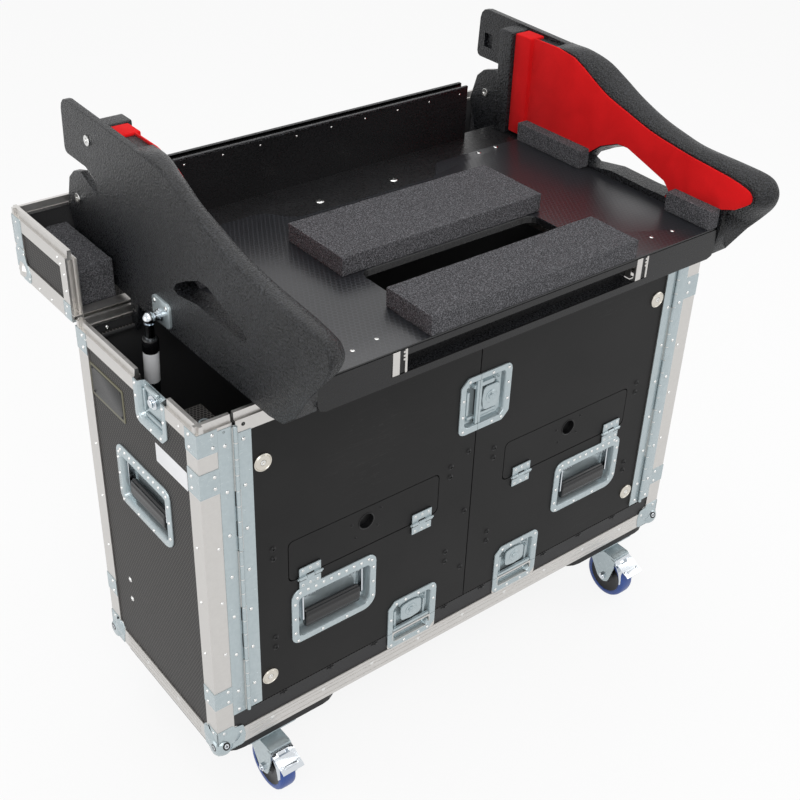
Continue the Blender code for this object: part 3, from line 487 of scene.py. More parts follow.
class Effects:
    """Effects that several finishes share, each a node group built once."""

    def __init__(self) -> None:
        """Build the groups."""
        self.hexagons = self._hexagons()
        self.grain = self._grain()
        self.mottle = self._mottle()
        self.scuffs = self._scuffs()
        self.dust = self._dust()
        self.pores = self._pores()

    @staticmethod
    def _open(name: str, inputs: dict[str, float], outputs: Sequence[str]
              ) -> tuple[Graph, dict[str, bpy.types.NodeSocket], bpy.types.Node]:
        """Start a group.

        Args:
            name: The group's name.
            inputs: Its inputs and what they hold unless told otherwise.
            outputs: Its outputs.

        Returns:
            Its graph, its input sockets by name and its output node.
        """
        tree = bpy.data.node_groups.new(name, "ShaderNodeTree")
        for key, value in inputs.items():
            made = tree.interface.new_socket(key, in_out="INPUT", socket_type="NodeSocketFloat")
            made.default_value = value
        for key in outputs:
            tree.interface.new_socket(key, in_out="OUTPUT", socket_type="NodeSocketFloat")
        entry, leave = tree.nodes.new("NodeGroupInput"), tree.nodes.new("NodeGroupOutput")
        return Graph(tree), {key: entry.outputs[key] for key in inputs}, leave

    def _hexagons(self) -> bpy.types.NodeTree:
        """Honeycomb print: 1 on the lines between the cells, flat across each face of a box."""
        graph, given, leave = self._open("Honeycomb print", {"Pitch": 0.005, "Line": 0.1}, ["Mask"])
        place = graph.add("TexCoord")
        facing = graph.add("SeparateXYZ",
                           {0: graph.vector("ABSOLUTE", place.outputs["Normal"]).outputs[0]})
        at = graph.add("SeparateXYZ", {0: place.outputs["Object"]})
        on_side = graph.math("GREATER_THAN", facing.outputs[0], 0.7)
        on_top = graph.math("GREATER_THAN", facing.outputs[2], 0.7)
        first = graph.add("Mix", {0: on_side, 2: at.outputs[0], 3: at.outputs[1]}).outputs[0]
        second = graph.add("Mix", {0: on_top, 2: at.outputs[2], 3: at.outputs[1]}).outputs[0]
        flat = graph.add("CombineXYZ", {0: graph.math("DIVIDE", first, given["Pitch"]),
                                        1: graph.math("DIVIDE", second, given["Pitch"])}).outputs[0]
        half = (0.5, sqrt(3) / 2, 0.5)
        lowest = tuple(-x for x in half)
        reach = []
        for offset in ((0.0, 0.0, 0.0), half):
            moved = graph.vector("ADD", flat, offset).outputs[0]
            inside = graph.vector("ABSOLUTE",
                                  graph.vector("WRAP", moved, half, lowest).outputs[0]).outputs[0]
            slanted = graph.vector("DOT_PRODUCT", inside, (0.5, sqrt(3) / 2, 0.0)).outputs["Value"]
            straight = graph.add("SeparateXYZ", {0: inside}).outputs[0]
            reach.append(graph.math("MAXIMUM", slanted, straight))
        nearest = graph.math("MINIMUM", *reach)
        start = graph.math("SUBTRACT", 0.5, given["Line"])
        line = graph.add("MapRange", {0: nearest, 1: start, 2: 0.5, 3: 0.0, 4: 1.0},
                         interpolation_type="SMOOTHSTEP").outputs[0]
        graph.tree.links.new(line, leave.inputs["Mask"])
        return graph.tree

    def _grain(self) -> bpy.types.NodeTree:
        """Fine irregular grain, as height and as a value round a half."""
        graph, given, leave = self._open("Surface grain", {"Scale": 600.0, "Coarse": 0.4},
                                         ["Value", "Height"])
        fine = graph.add("TexNoise",
                         {"Vector": graph.spot(), "Scale": given["Scale"],
                          "Detail": 3.0}).outputs["Fac"]
        cells = graph.add("TexVoronoi",
                          {"Vector": graph.spot(), "Scale": given["Scale"], "Smoothness": 0.6},
                          feature="SMOOTH_F1").outputs["Distance"]
        mixed = graph.add("Mix", {0: given["Coarse"], 2: fine, 3: cells}).outputs[0]
        graph.tree.links.new(fine, leave.inputs["Value"])
        graph.tree.links.new(mixed, leave.inputs["Height"])
        return graph.tree

    def _mottle(self) -> bpy.types.NodeTree:
        """Slow cloudy change, as on plated or anodised metal."""
        graph, given, leave = self._open("Cloudy change", {"Scale": 18.0, "Contrast": 1.0},
                                         ["Value"])
        cloud = graph.add("TexNoise",
                          {"Vector": graph.spot(), "Scale": given["Scale"], "Detail": 4.0,
                           "Distortion": 0.6}).outputs["Fac"]
        spread = graph.math("MULTIPLY", graph.math("SUBTRACT", cloud, 0.5), given["Contrast"])
        graph.tree.links.new(graph.math("ADD", spread, 0.5), leave.inputs["Value"])
        return graph.tree

    def _scuffs(self) -> bpy.types.NodeTree:
        """Sparse thin scratches in two directions."""
        graph, given, leave = self._open("Light scuffs", {"Scale": 9.0, "Amount": 0.3}, ["Mask"])
        lines = []
        for turn in (0.5, 2.2):
            stretched = graph.add("Mapping",
                                  {"Vector": graph.spot(), "Rotation": (turn, 0.4 * turn, turn),
                                   "Scale": (1.0, 14.0, 14.0)}).outputs[0]
            streak = graph.add("TexNoise", {"Vector": stretched, "Scale": given["Scale"],
                                            "Detail": 2.0}).outputs["Fac"]
            lines.append(graph.between(graph.math("ABSOLUTE", graph.math("SUBTRACT", streak, 0.5)),
                                       0.006, 0.0))
        patch = graph.between(graph.noise(3.0, 1.0), 0.5, 0.62)
        both = graph.math("MULTIPLY", graph.math("MAXIMUM", *lines), patch)
        graph.tree.links.new(graph.math("MULTIPLY", both, given["Amount"]), leave.inputs["Mask"])
        return graph.tree

    def _dust(self) -> bpy.types.NodeTree:
        """Dust that lies on what faces up."""
        graph, given, leave = self._open("Settled dust", {"Amount": 0.1}, ["Mask"])
        facing = graph.add("SeparateXYZ",
                           {0: graph.add("NewGeometry").outputs["Normal"]}).outputs[2]
        upward = graph.between(facing, 0.3, 1.0)
        patch = graph.between(graph.noise(25.0, 5.0), 0.35, 0.75)
        both = graph.math("MULTIPLY", upward, patch)
        graph.tree.links.new(graph.math("MULTIPLY", both, given["Amount"]), leave.inputs["Mask"])
        return graph.tree

    def _pores(self) -> bpy.types.NodeTree:
        """Open cells: dark pits between lighter walls."""
        graph, given, leave = self._open("Open cells", {"Scale": 420.0}, ["Value", "Height"])
        cells = graph.add("TexVoronoi",
                          {"Vector": graph.spot(), "Scale": given["Scale"]}).outputs["Distance"]
        coarse = graph.add("TexNoise",
                           {"Vector": graph.spot(), "Scale": given["Scale"], "Detail": 4.0,
                            "Roughness": 0.7}).outputs["Fac"]
        value = graph.math("MULTIPLY", graph.between(cells, 0.1, 0.7),
                           graph.between(coarse, 0.25, 0.75))
        graph.tree.links.new(value, leave.inputs["Value"])
        graph.tree.links.new(cells, leave.inputs["Height"])
        return graph.tree

    @staticmethod
    def use(graph: Graph, group: bpy.types.NodeTree, **values: float) -> bpy.types.Node:
        """Place a group in a material with its own values."""
        node = graph.tree.nodes.new("ShaderNodeGroup")
        node.node_tree = group
        for key, value in values.items():
            node.inputs[key].default_value = value
        return node


@dataclass(frozen=True)
class Finish:
    """A surface finish; the plain one has one colour broken by cloudy change."""

    name: str
    colour: Colour
    roughness: float
    metallic: float = 0.0
    second: Colour | None = None
    shine: float = 0.5

    def build(self, effects: Effects) -> bpy.types.Material:
        """Make the material."""
        made = bpy.data.materials.new(self.name)
        made.use_nodes = True
        shader = made.node_tree.nodes["Principled BSDF"]
        shader.inputs["Metallic"].default_value = self.metallic
        shader.inputs["Specular IOR Level"].default_value = self.shine
        shader.inputs["Roughness"].default_value = self.roughness
        self.wire(Graph(made.node_tree), shader, effects)
        return made

    def wire(self, graph: Graph, shader: bpy.types.Node, effects: Effects) -> None:
        """Wire colour, roughness and bump into the shader."""
        cloud = effects.use(graph, effects.mottle, Scale=22.0).outputs["Value"]
        self.paint(graph, shader, graph.tint(cloud, self.colour, self.other))

    @property
    def other(self) -> Colour:
        """The second colour, or a lighter first one."""
        return self.second or tuple(min(1.0, c * 1.25) for c in self.colour)

    @staticmethod
    def paint(graph: Graph, shader: bpy.types.Node, colour: bpy.types.NodeSocket) -> None:
        """Feed the base colour."""
        graph.tree.links.new(colour, shader.inputs["Base Color"])

    @staticmethod
    def gloss(graph: Graph, shader: bpy.types.Node, value: bpy.types.NodeSocket) -> None:
        """Feed the roughness."""
        graph.tree.links.new(value, shader.inputs["Roughness"])

    @staticmethod
    def emboss(graph: Graph, shader: bpy.types.Node, height: bpy.types.NodeSocket,
               strength: float, distance: float) -> None:
        """Feed the normal through a bump node."""
        bump = graph.add("Bump", {"Strength": strength, "Distance": distance, "Height": height})
        graph.tree.links.new(bump.outputs[0], shader.inputs["Normal"])


@dataclass(frozen=True)
class PrintedLaminate(Finish):
    """Laminate with a fine honeycomb print; its front faces carry the plain fine-grained board."""

    pitch: float = 0.0058
    front: Colour = (0.030, 0.030, 0.031)

    def wire(self, graph: Graph, shader: bpy.types.Node, effects: Effects) -> None:
        """Wire the print and light scuffs."""
        lines = effects.use(graph, effects.hexagons, Pitch=self.pitch, Line=0.17).outputs["Mask"]
        printed = graph.tint(lines, self.colour, self.other)
        facing = graph.add("SeparateXYZ", {0: graph.add("TexCoord").outputs["Normal"]}).outputs[1]
        to_front = graph.math("LESS_THAN", facing, -0.7)
        board = graph.tint(graph.noise(900.0), self.front, tuple(c * 1.7 for c in self.front))
        both = graph.tint(to_front, printed, board)
        worn = graph.tint(effects.use(graph, effects.scuffs, Amount=0.06).outputs[0], both, SCUFF)
        self.paint(graph, shader, worn)
        self.gloss(graph, shader,
                   graph.between(lines, 0.0, 1.0, self.roughness, self.roughness + 0.1))
        self.emboss(graph, shader, lines, 0.25, 0.0003)


@dataclass(frozen=True)
class Grained(Finish):
    """Black board or moulded plastic with a grain that catches the light."""

    scale: float = 700.0
    depth: float = 0.0002
    strength: float = 0.35
    dust: float = 0.08
    speckle: float = 0.6
    reach: tuple[float, float] = (0.3, 0.7)

    def wire(self, graph: Graph, shader: bpy.types.Node, effects: Effects) -> None:
        """Wire grain, cloudy change, dust and scuffs."""
        grain = effects.use(graph, effects.grain, Scale=self.scale)
        cloud = effects.use(graph, effects.mottle, Scale=6.0, Contrast=1.4).outputs["Value"]
        both = graph.add("Mix", {0: self.speckle, 2: cloud, 3: grain.outputs["Value"]}).outputs[0]
        colour = graph.tint(graph.between(both, *self.reach), self.colour, self.other)
        dusty = graph.tint(effects.use(graph, effects.dust, Amount=self.dust).outputs[0], colour,
                           DUST)
        worn = graph.tint(effects.use(graph, effects.scuffs, Amount=0.06).outputs[0], dusty, SCUFF)
        self.paint(graph, shader, worn)
        self.gloss(graph, shader,
                   graph.between(grain.outputs["Value"], 0.3, 0.7, self.roughness - 0.07,
                                 self.roughness + 0.07))
        self.emboss(graph, shader, grain.outputs["Height"], self.strength, self.depth)


@dataclass(frozen=True)
class Metal(Finish):
    """Plated or anodised metal: cloudy tint, uneven gloss, fine scratches."""

    grain: float = 900.0
    spread: float = 0.10
    cloud: float = 30.0

    def wire(self, graph: Graph, shader: bpy.types.Node, effects: Effects) -> None:
        """Wire tint, gloss and a trace of relief."""
        cloud = effects.use(graph, effects.mottle, Scale=self.cloud, Contrast=1.1).outputs["Value"]
        scuff = effects.use(graph, effects.scuffs, Scale=16.0, Amount=0.25).outputs["Mask"]
        colour = graph.tint(scuff, graph.tint(cloud, self.colour, self.other), SCRATCH)
        self.paint(graph, shader, colour)
        grain = effects.use(graph, effects.grain, Scale=self.grain)
        rough = graph.between(graph.math("ADD", cloud, scuff), 0.2, 1.0,
                              self.roughness - self.spread / 2, self.roughness + self.spread)
        self.gloss(graph, shader, rough)
        self.emboss(graph, shader, grain.outputs["Height"], 0.08, 0.0001)


@dataclass(frozen=True)
class Foam(Finish):
    """Cut black foam with open cells."""

    scale: float = 420.0

    def wire(self, graph: Graph, shader: bpy.types.Node, effects: Effects) -> None:
        """Wire the cells."""
        cells = effects.use(graph, effects.pores, Scale=self.scale)
        colour = graph.tint(cells.outputs["Value"], self.colour, self.other)
        self.paint(graph, shader, colour)
        self.emboss(graph, shader, cells.outputs["Height"], 0.9, 0.0012)


@dataclass(frozen=True)
class Felt(Finish):
    """Short-napped felt."""

    sheen: float = 0.05

    def wire(self, graph: Graph, shader: bpy.types.Node, effects: Effects) -> None:
        """Wire fibres and soft patches."""
        fibre = graph.add("TexNoise", {"Vector": graph.spot(), "Scale": 1400.0, "Detail": 4.0,
                                       "Roughness": 0.75}).outputs["Fac"]
        patch = effects.use(graph, effects.mottle, Scale=14.0, Contrast=1.2).outputs["Value"]
        both = graph.add("Mix", {0: 0.5, 2: fibre, 3: patch}).outputs[0]
        self.paint(graph, shader,
                   graph.tint(graph.between(both, 0.3, 0.7), self.colour, self.other))
        self.emboss(graph, shader, fibre, 0.5, 0.0005)
        shader.inputs["Sheen Weight"].default_value = self.sheen
        shader.inputs["Sheen Roughness"].default_value = 0.6


class Palette:
    """Every finish of the case, made into materials once."""

    def __init__(self) -> None:
        """Build all materials."""
        effects = Effects()
        finishes = {
            Look.LAMINATE: PrintedLaminate("printed laminate", (0.0045, 0.0042, 0.0040), 0.44,
                                           shine=0.16, second=(0.115, 0.108, 0.104)),
            Look.ALUMINIUM: Metal("anodised aluminium", (0.58, 0.565, 0.545), 0.36, 1.0,
                                  second=(0.65, 0.635, 0.615), cloud=140.0),
            Look.BOARD: Grained("fine black board", (0.0055, 0.0055, 0.0056), 0.50, shine=0.20,
                                second=(0.0125, 0.0122, 0.0122), scale=1100.0, depth=0.0001,
                                strength=0.25, dust=0.02),
            Look.MOULDED: Grained("moulded black plastic", (0.003, 0.0033, 0.004), 0.30, shine=0.34,
                                  second=(0.030, 0.032, 0.037), scale=330.0, depth=0.0030,
                                  strength=1.0, dust=0.0, speckle=0.9, reach=(0.46, 0.64)),
            Look.SHEET: Grained("smooth black sheet", (0.006, 0.006, 0.0065), 0.30, shine=0.35,
                                second=(0.011, 0.011, 0.012), scale=260.0, depth=0.0002,
                                strength=0.12, dust=0.02),
            Look.LINER: PrintedLaminate("raised tray sheet", (0.009, 0.0096, 0.0115), 0.30,
                                        shine=0.60, second=(0.030, 0.032, 0.038), pitch=0.0085,
                                        front=(0.009, 0.0095, 0.010)),
            Look.FOAM: Foam("open black foam", (0.009, 0.009, 0.010), 0.95, shine=0.1,
                            second=(0.25, 0.25, 0.268), scale=480.0),
            Look.ZINC: Metal("bright zinc plate", (0.40, 0.465, 0.49), 0.24, 0.55,
                             second=(0.50, 0.57, 0.59), spread=0.06, cloud=120.0),
            Look.CHROME: Metal("polished steel", (0.62, 0.66, 0.70), 0.10, 1.0,
                               second=(0.70, 0.73, 0.76), spread=0.05),
            Look.NICKEL: Metal("nickel disc", (0.60, 0.565, 0.50), 0.28, 1.0,
                               second=(0.68, 0.65, 0.59)),
            Look.WHITE_STEEL: Metal("white zinc", (0.72, 0.72, 0.71), 0.16, 1.0,
                                    second=(0.74, 0.74, 0.73)),
            Look.RUBBER: Grained("ribbed rubber", (0.004, 0.0042, 0.005), 0.30, shine=0.5,
                                 second=(0.012, 0.012, 0.013), scale=900.0, depth=0.0001,
                                 strength=0.2, dust=0.01),
            Look.FELT: Felt("red felt", (0.62, 0.005, 0.007), 0.95, shine=0.05,
                            second=(0.86, 0.012, 0.014)),
            Look.SPRING: Finish("black lacquer", (0.004, 0.004, 0.0045), 0.22),
            Look.PAPER: Finish("bare label", (0.80, 0.81, 0.83), 0.50, second=(0.86, 0.865, 0.875)),
            Look.PLATE: Metal("dark plate", (0.10, 0.095, 0.06), 0.42, 0.4,
                              second=(0.16, 0.15, 0.09)),
            # Real black steel for dark screws and catches; the same material is painted shade in
            # hinge gaps, rail slots and screw recesses.
            Look.BLACK_STEEL_AND_SHADE: Grained("black steel", (0.005, 0.005, 0.0055), 0.35, shine=0.3,
                               second=(0.01, 0.01, 0.0105), scale=1500.0, dust=0.0),
            Look.SKID: Grained("black timber skid", (0.010, 0.010, 0.0105), 0.55, shine=0.3,
                               second=(0.018, 0.018, 0.0185), scale=500.0, dust=0.03),
            Look.TREAD: Finish("blue elastic tread", (0.022, 0.065, 0.27), 0.38,
                               second=(0.034, 0.088, 0.34)),
            Look.HUB: Grained("black wheel hub", (0.005, 0.005, 0.0055), 0.35, shine=0.35,
                              second=(0.010, 0.010, 0.011), dust=0.01),
        }
        self.made = {look: finish.build(effects) for look, finish in finishes.items()}

    def __getitem__(self, look: Look) -> bpy.types.Material:
        """Return a look's material."""
        return self.made[look]


class Workshop:
    """Turns forms into named pieces that ride on the frame's bodies."""

    def __init__(self) -> None:
        """Mix the finishes."""
        self.palette = Palette()

    def make(self, name: str, form: Form | bpy.types.Mesh, look: Look, body: str,
             replaces: Sequence[str] = (), crease: float = 38.0) -> bpy.types.Object:
        """Make one piece.

        Args:
            name: Its name.
            form: Its shape, in the floor frame.
            look: Its finish.
            body: The body that it rides on.
            replaces: CAD nodes that it stands for.
            crease: Edges sharper than this many degrees stay sharp.

        Returns:
            The piece.
        """
        mesh = form.mesh(name) if isinstance(form, Form) else form
        piece = bpy.data.objects.new(name, mesh)
        bpy.context.scene.collection.objects.link(piece)
        mesh.materials.clear()
        mesh.materials.append(self.palette[look])
        mesh.shade_smooth()
        mesh.set_sharp_from_angle(angle=radians(crease))
        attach(piece, body)
        look.slot
        if replaces:
            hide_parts(*replaces)
        LOG.info("%s: %d faces, rides on %s", name, len(mesh.polygons), body)
        return piece

    def stud(self, name: str, head: Form, wall: Matrix, spots: Sequence[Point], height: float,
             body: str, look: Look = Look.WHITE_STEEL) -> None:
        """Make one piece of equal heads.

        Args:
            name: Its name.
            head: The head of one rivet or screw.
            wall: Frame of the face that they stand on.
            spots: Where they stand on it.
            height: Height of their seats above it.
            body: The body that they ride on.
            look: Their finish.
        """
        self.make(name, heads(head, wall, spots, height), look, body)

    def dress(self, look: Look, *nodes: str) -> None:
        """Give CAD nodes a finish."""
        for name in nodes:
            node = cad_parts[name]
            if not node.material_slots:
                node.data.materials.append(None)
            for index in range(len(node.material_slots)):
                node.material_slots[index].material = self.palette[look]
            LOG.info("%s: dressed in %s", name, look.name.lower())


def carve(mesh: bpy.types.Mesh, cutters: Sequence[Form],
          operation: str = "DIFFERENCE") -> bpy.types.Mesh:
    """Cut forms out of a mesh, or keep only what lies in them.

    Args:
        mesh: The mesh.
        cutters: Closed forms.
        operation: A boolean operation's name.

    Returns:
        The cut mesh.
    """
    target = bpy.data.objects.new("carved", mesh)
    bpy.context.scene.collection.objects.link(target)
    for cutter in cutters:
        tool = bpy.data.objects.new("cutter", cutter.mesh("cutter"))
        bpy.context.scene.collection.objects.link(tool)
        step = target.modifiers.new("cut", "BOOLEAN")
        step.operation, step.solver, step.object = operation, "EXACT", tool
        graph = bpy.context.evaluated_depsgraph_get()
        target.data = bpy.data.meshes.new_from_object(target.evaluated_get(graph))
        target.modifiers.clear()
        bpy.data.objects.remove(tool, do_unlink=True)
    made = target.data
    bpy.data.objects.remove(target, do_unlink=True)
    return made


@dataclass
class Studio:
    """Camera, lamps, floor and backdrop."""

    lens: float = 56.646
    azimuth: float = -39.265
    elevation: float = 33.882
    roll: float = 2.216
    spot: Spot = (-1.2164, -1.4672, 1.8319)

    def build(self) -> None:
        """Set up everything that isn't the object."""
        self.camera()
        self.lamps()
        self.world()
        self.floor()
        bpy.context.scene.view_settings.view_transform = "Standard"

    def camera(self) -> None:
        """Place the camera at the photograph's viewpoint."""
        turn, rise, roll = radians(self.azimuth), radians(self.elevation), radians(self.roll)
        back = Vector((sin(turn) * cos(rise), -cos(turn) * cos(rise), sin(rise)))
        right = (-back).cross(Vector((0, 0, 1))).normalized()
        upward = right.cross(-back)
        first = cos(roll) * right + sin(roll) * upward
        second = -sin(roll) * right + cos(roll) * upward
        data = bpy.data.cameras.new("camera")
        data.lens, data.sensor_width = self.lens, SENSOR_WIDTH
        camera = bpy.data.objects.new("camera", data)
        bpy.context.scene.collection.objects.link(camera)
        matrix = Matrix((first, second, back)).transposed().to_4x4()
        matrix.translation = Vector(self.spot)
        camera.matrix_world = matrix
        bpy.context.scene.camera = camera

    @staticmethod
    def lamps() -> None:
        """Hang soft boxes round the case."""
        boxes = {"key": ((-1.9, -2.9, 3.4), 2.6, 62.0), "fill": ((3.2, -1.6, 2.2), 2.4, 26.0),
                 "top": ((0.2, 0.6, 4.2), 3.0, 48.0), "low": ((-2.8, 0.4, 0.9), 1.8, 14.0)}
        for name, (spot, size, power) in boxes.items():
            data = bpy.data.lights.new(name, "AREA")
            data.shape, data.size, data.energy = "SQUARE", size, power
            lamp = bpy.data.objects.new(name, data)
            bpy.context.scene.collection.objects.link(lamp)
            lamp.location = spot
            aim = MIDDLE - Vector(spot)
            lamp.rotation_euler = aim.to_track_quat("-Z", "Y").to_euler()

    @staticmethod
    def seen_directly(graph: Graph) -> bpy.types.NodeSocket:
        """Return 1 for camera, glossy and transmission rays."""
        path = graph.add("LightPath").outputs
        seen = graph.math("MAXIMUM", path["Is Camera Ray"], path["Is Glossy Ray"])
        return graph.math("MAXIMUM", seen, path["Is Transmission Ray"])

    def world(self) -> None:
        """Light from all round, white where it is seen."""
        world = bpy.data.worlds.new("world")
        bpy.context.scene.world = world
        world.use_nodes = True
        graph = Graph(world.node_tree)
        background = world.node_tree.nodes["Background"]
        strength = graph.between(self.seen_directly(graph), 0.0, 1.0, 0.50, 1.0)
        background.inputs["Color"].default_value = (1.0, 1.0, 1.0, 1.0)
        world.node_tree.links.new(strength, background.inputs["Strength"])

    def floor(self) -> None:
        """Lay the pale floor, which keeps the shadow."""
        span = (-FLOOR_REACH, FLOOR_REACH)
        form = Form().box(span, span, (-0.02, 0.0))
        floor = bpy.data.objects.new("floor", form.mesh("floor"))
        bpy.context.scene.collection.objects.link(floor)
        made = bpy.data.materials.new("pale floor")
        made.use_nodes = True
        graph = Graph(made.node_tree)
        shader = made.node_tree.nodes["Principled BSDF"]
        shader.inputs["Base Color"].default_value = (0.90, 0.90, 0.90, 1.0)
        shader.inputs["Roughness"].default_value = 0.9
        shader.inputs["Specular IOR Level"].default_value = 0.1
        glow = graph.add("Emission", {"Color": (1.0, 1.0, 1.0, 1.0), "Strength": 1.0}).outputs[0]
        share = graph.between(self.seen_directly(graph), 0.0, 1.0, 0.0, 0.88)
        mixed = graph.add("MixShader", {0: share, 1: shader.outputs[0], 2: glow}).outputs[0]
        made.node_tree.links.new(mixed, made.node_tree.nodes["Material Output"].inputs["Surface"])
        floor.data.materials.append(made)


@dataclass
class BaseBox:
    """Base box: panels, extrusions, brackets, ball corners and side markings."""

    shop: Workshop
    half_width: float = 0.536
    half_depth: float = 0.186
    leg: float = 0.033
    steel: float = 0.0009
    skin: float = SKIN
    brackets: tuple[Point, ...] = ((0.620, 0.6595), (0.545, 0.590), (0.107, 0.144))
    bracket_rivets: tuple[float, ...] = (0.652, 0.630, 0.578, 0.557, 0.137, 0.114)
    post_rivets: tuple[float, ...] = (0.442, 0.332, 0.222)
    front_rivet: float = 0.0245
    side_rivet: float = 0.0215

    def build(self) -> None:
        """Dress the box and add its fittings."""
        self.shop.dress(Look.LAMINATE, "base_shell")
        self.shop.dress(Look.ALUMINIUM, "base_frame")
        self.shop.dress(Look.SKID, "skid_left", "skid_right")
        for side in Side:
            for end, word in ((-1, "front"), (1, "rear")):
                self.post_brackets(side, end, word)
                self.corner_cup(side, end, word)
                self.post_heads(side, end, word)
        self.bottom_rails()
        self.rim_screws()
        self.markings()

    def corner(self, side: Side, end: int) -> Matrix:
        """Frame at the foot of a post: u inwards along the front, v along the side, h up."""
        spot = (side.value * self.half_width, end * self.half_depth, 0.0)
        return basis((-side.value, 0, 0), (0, -end, 0), (0, 0, 1), spot)

    def post_brackets(self, side: Side, end: int, word: str) -> None:
        """Wrap zinc angles round a post."""
        form, out, leg = Form(), -self.steel, self.leg
        section = [(out, out), (leg, out), (leg, 0.0001), (0.0001, 0.0001), (0.0001, leg),
                   (out, leg)]
        spans = self.brackets if end < 0 else self.brackets[:1] + self.brackets[2:]
        for low, high in spans:
            form.slab(section, low, high, 0.0, self.corner(side, end))
        self.shop.make(f"post_brackets_{word}_{side.word}", form, Look.ZINC, "base")

    def post_heads(self, side: Side, end: int, word: str) -> None:
        """Rivet a post and its brackets."""
        face = Wall.FRONT if end < 0 else Wall.REAR
        across = face.along(side.value * (self.half_width - self.front_rivet))
        along = WALL_OF[side].along(end * (self.half_depth - self.side_rivet))
        low = self.bracket_rivets if end < 0 else self.bracket_rivets[:2] + self.bracket_rivets[4:]
        head = rivet(0.0033, 0.0021)
        form = Form()
        for wall, u in ((face, across), (WALL_OF[side], along)):
            form.stamp(heads(head, wall.matrix, [(u, z) for z in low], self.skin + self.steel))
            form.stamp(heads(head, wall.matrix, [(u, z) for z in self.post_rivets], self.skin))
        self.shop.make(f"post_rivets_{word}_{side.word}", form, Look.WHITE_STEEL, "base")

    @staticmethod
    def ball(centre: float, radius: float, flat: float, steps: int, around: int) -> Form:
        """Return a ball inset equally from the three faces, flattened at the side face."""
        rings = []
        for k in range(1, steps + 1):
            turn = pi * k / (steps + 1)
            rings.append([(max(flat, centre + p[0]), centre + p[1], centre - radius * cos(turn))
                          for p in circle(radius * sin(turn), around)])
        return Form().loft(rings)

    def corner_cup(self, side: Side, end: int, word: str) -> None:
        """Cover a bottom corner with its pressed cup, tabs and sunk screws, each screw on a disc of
        painted shade in its recess.
        """
        place = self.corner(side, end)
        centre, radius, thick, flat = 0.0112, 0.0205, 0.0012, -0.0046
        wide_centre, wide_radius, wide_flat, far = 0.0276, 0.0333, -0.0054, 0.1
        cup, screws, recess, tab = Form(), Form(), Form(), Form()
        wide = self.ball(wide_centre, wide_radius, wide_flat, 16, 32).mesh("ball")
        cutters = []
        for axis in range(3):
            spans = [(thick, far)] * 3
            spans[axis] = (wide_centre, far)
            cutters.append(Form().box(*spans))
        cutters.append(Form().box((-far, far), (-far, far), (-far, 0.0)))
        cup.absorb(carve(wide, cutters), place)
        cup.stamp(self.ball(centre, radius, flat, 21, 40), place)
        cup.box((-thick, 0.040), (-thick, 0.040), (-thick, 0.0004), 0.0004, place)
        forward = Vector((0.05, -0.90, 0.43)).normalized()
        for spot, out in ((Vector((centre,) * 3) + forward * (radius - 0.0003), forward),
                          (Vector((flat, 0.0075, 0.0150)), Vector((-1, 0, 0)))):
            matrix = out.to_track_quat("Z", "Y").to_matrix().to_4x4()
            matrix.translation = spot
            # A dark disc under each screw: painted shade in its recess.
            recess.turn([(0.0070, -0.001), (0.0070, 0.0), (0.0066, 0.0003)], place @ matrix, 24)
            screws.stamp(cross_screw(0.0046, 0.0007), place @ matrix)
        front = fillet([(-thick, -thick), (0.050, -thick), (0.054, 0.020), (0.050, 0.043),
                        (0.034, 0.046), (0.030, 0.052), (-thick, 0.052)],
                       [0.0005, 0.006, 0.008, 0.006, 0.003, 0.004, 0.0005])
        sidewise = [(0.8 * u if u > 0.03 else u, v) for u, v in front]
        for outline, flip in ((front, False), (sidewise, True)):
            rings = [[(-h, u, v) if flip else (u, -h, v) for u, v in inset(outline, d)]
                     for d, h in ((0.0, -0.0002), (0.0, thick * 0.6), (0.0005, thick))]
            cup.loft(rings, place)
        self.shop.make(f"corner_cup_{word}_{side.word}", cup, Look.ZINC, "base")
        face = Wall.FRONT if end < 0 else Wall.REAR
        for wall, at, reach in ((face, side.value * self.half_width, 0.044),
                                (WALL_OF[side], end * self.half_depth, 0.036)):
            inward = -1 if at > 0 else 1
            spots = [(wall.along(at + inward * reach), 0.030),
                     (wall.along(at + inward * 0.012), 0.0455)]
            tab.stamp(heads(rivet(0.0030, 0.0013), wall.matrix, spots, self.skin + thick))
        self.shop.make(f"corner_recess_{word}_{side.word}", recess, Look.BLACK_STEEL_AND_SHADE, "base")
        self.shop.make(f"corner_screws_{word}_{side.word}", screws, Look.CHROME, "base")
        self.shop.make(f"corner_rivets_{word}_{side.word}", tab, Look.WHITE_STEEL, "base")

    def bottom_rails(self) -> None:
        """Raise the ribs of the bottom rails and set their rivets between them."""
        ribs, ovals = Form(), Form()
        head = rivet(0.0040, 0.0009)
        lanes = ((0.0325, 0.0348), (0.0262, 0.0280), (0.0165, 0.0200), (0.0050, 0.0085))
        for wall, reach in ((Wall.FRONT, 0.474), (Wall.REAR, 0.474), (Wall.LEFT, 0.128),
                            (Wall.RIGHT, 0.128)):
            for low, high in lanes:
                ribs.box((-reach, reach), (low, high), (self.skin - 0.0003, self.skin + 0.0007),
                         0.0004, wall.matrix)
            count = round(2 * (reach - 0.05) / 0.107)
            spots = [((i - count / 2) * 0.107, 0.0232) for i in range(count + 1)]
            ovals.stamp(heads(head, wall.matrix, spots, self.skin))
        self.shop.make("bottom_rail_ribs", ribs, Look.ALUMINIUM, "base")
        self.shop.make("bottom_rail_rivets", ovals, Look.WHITE_STEEL, "base")

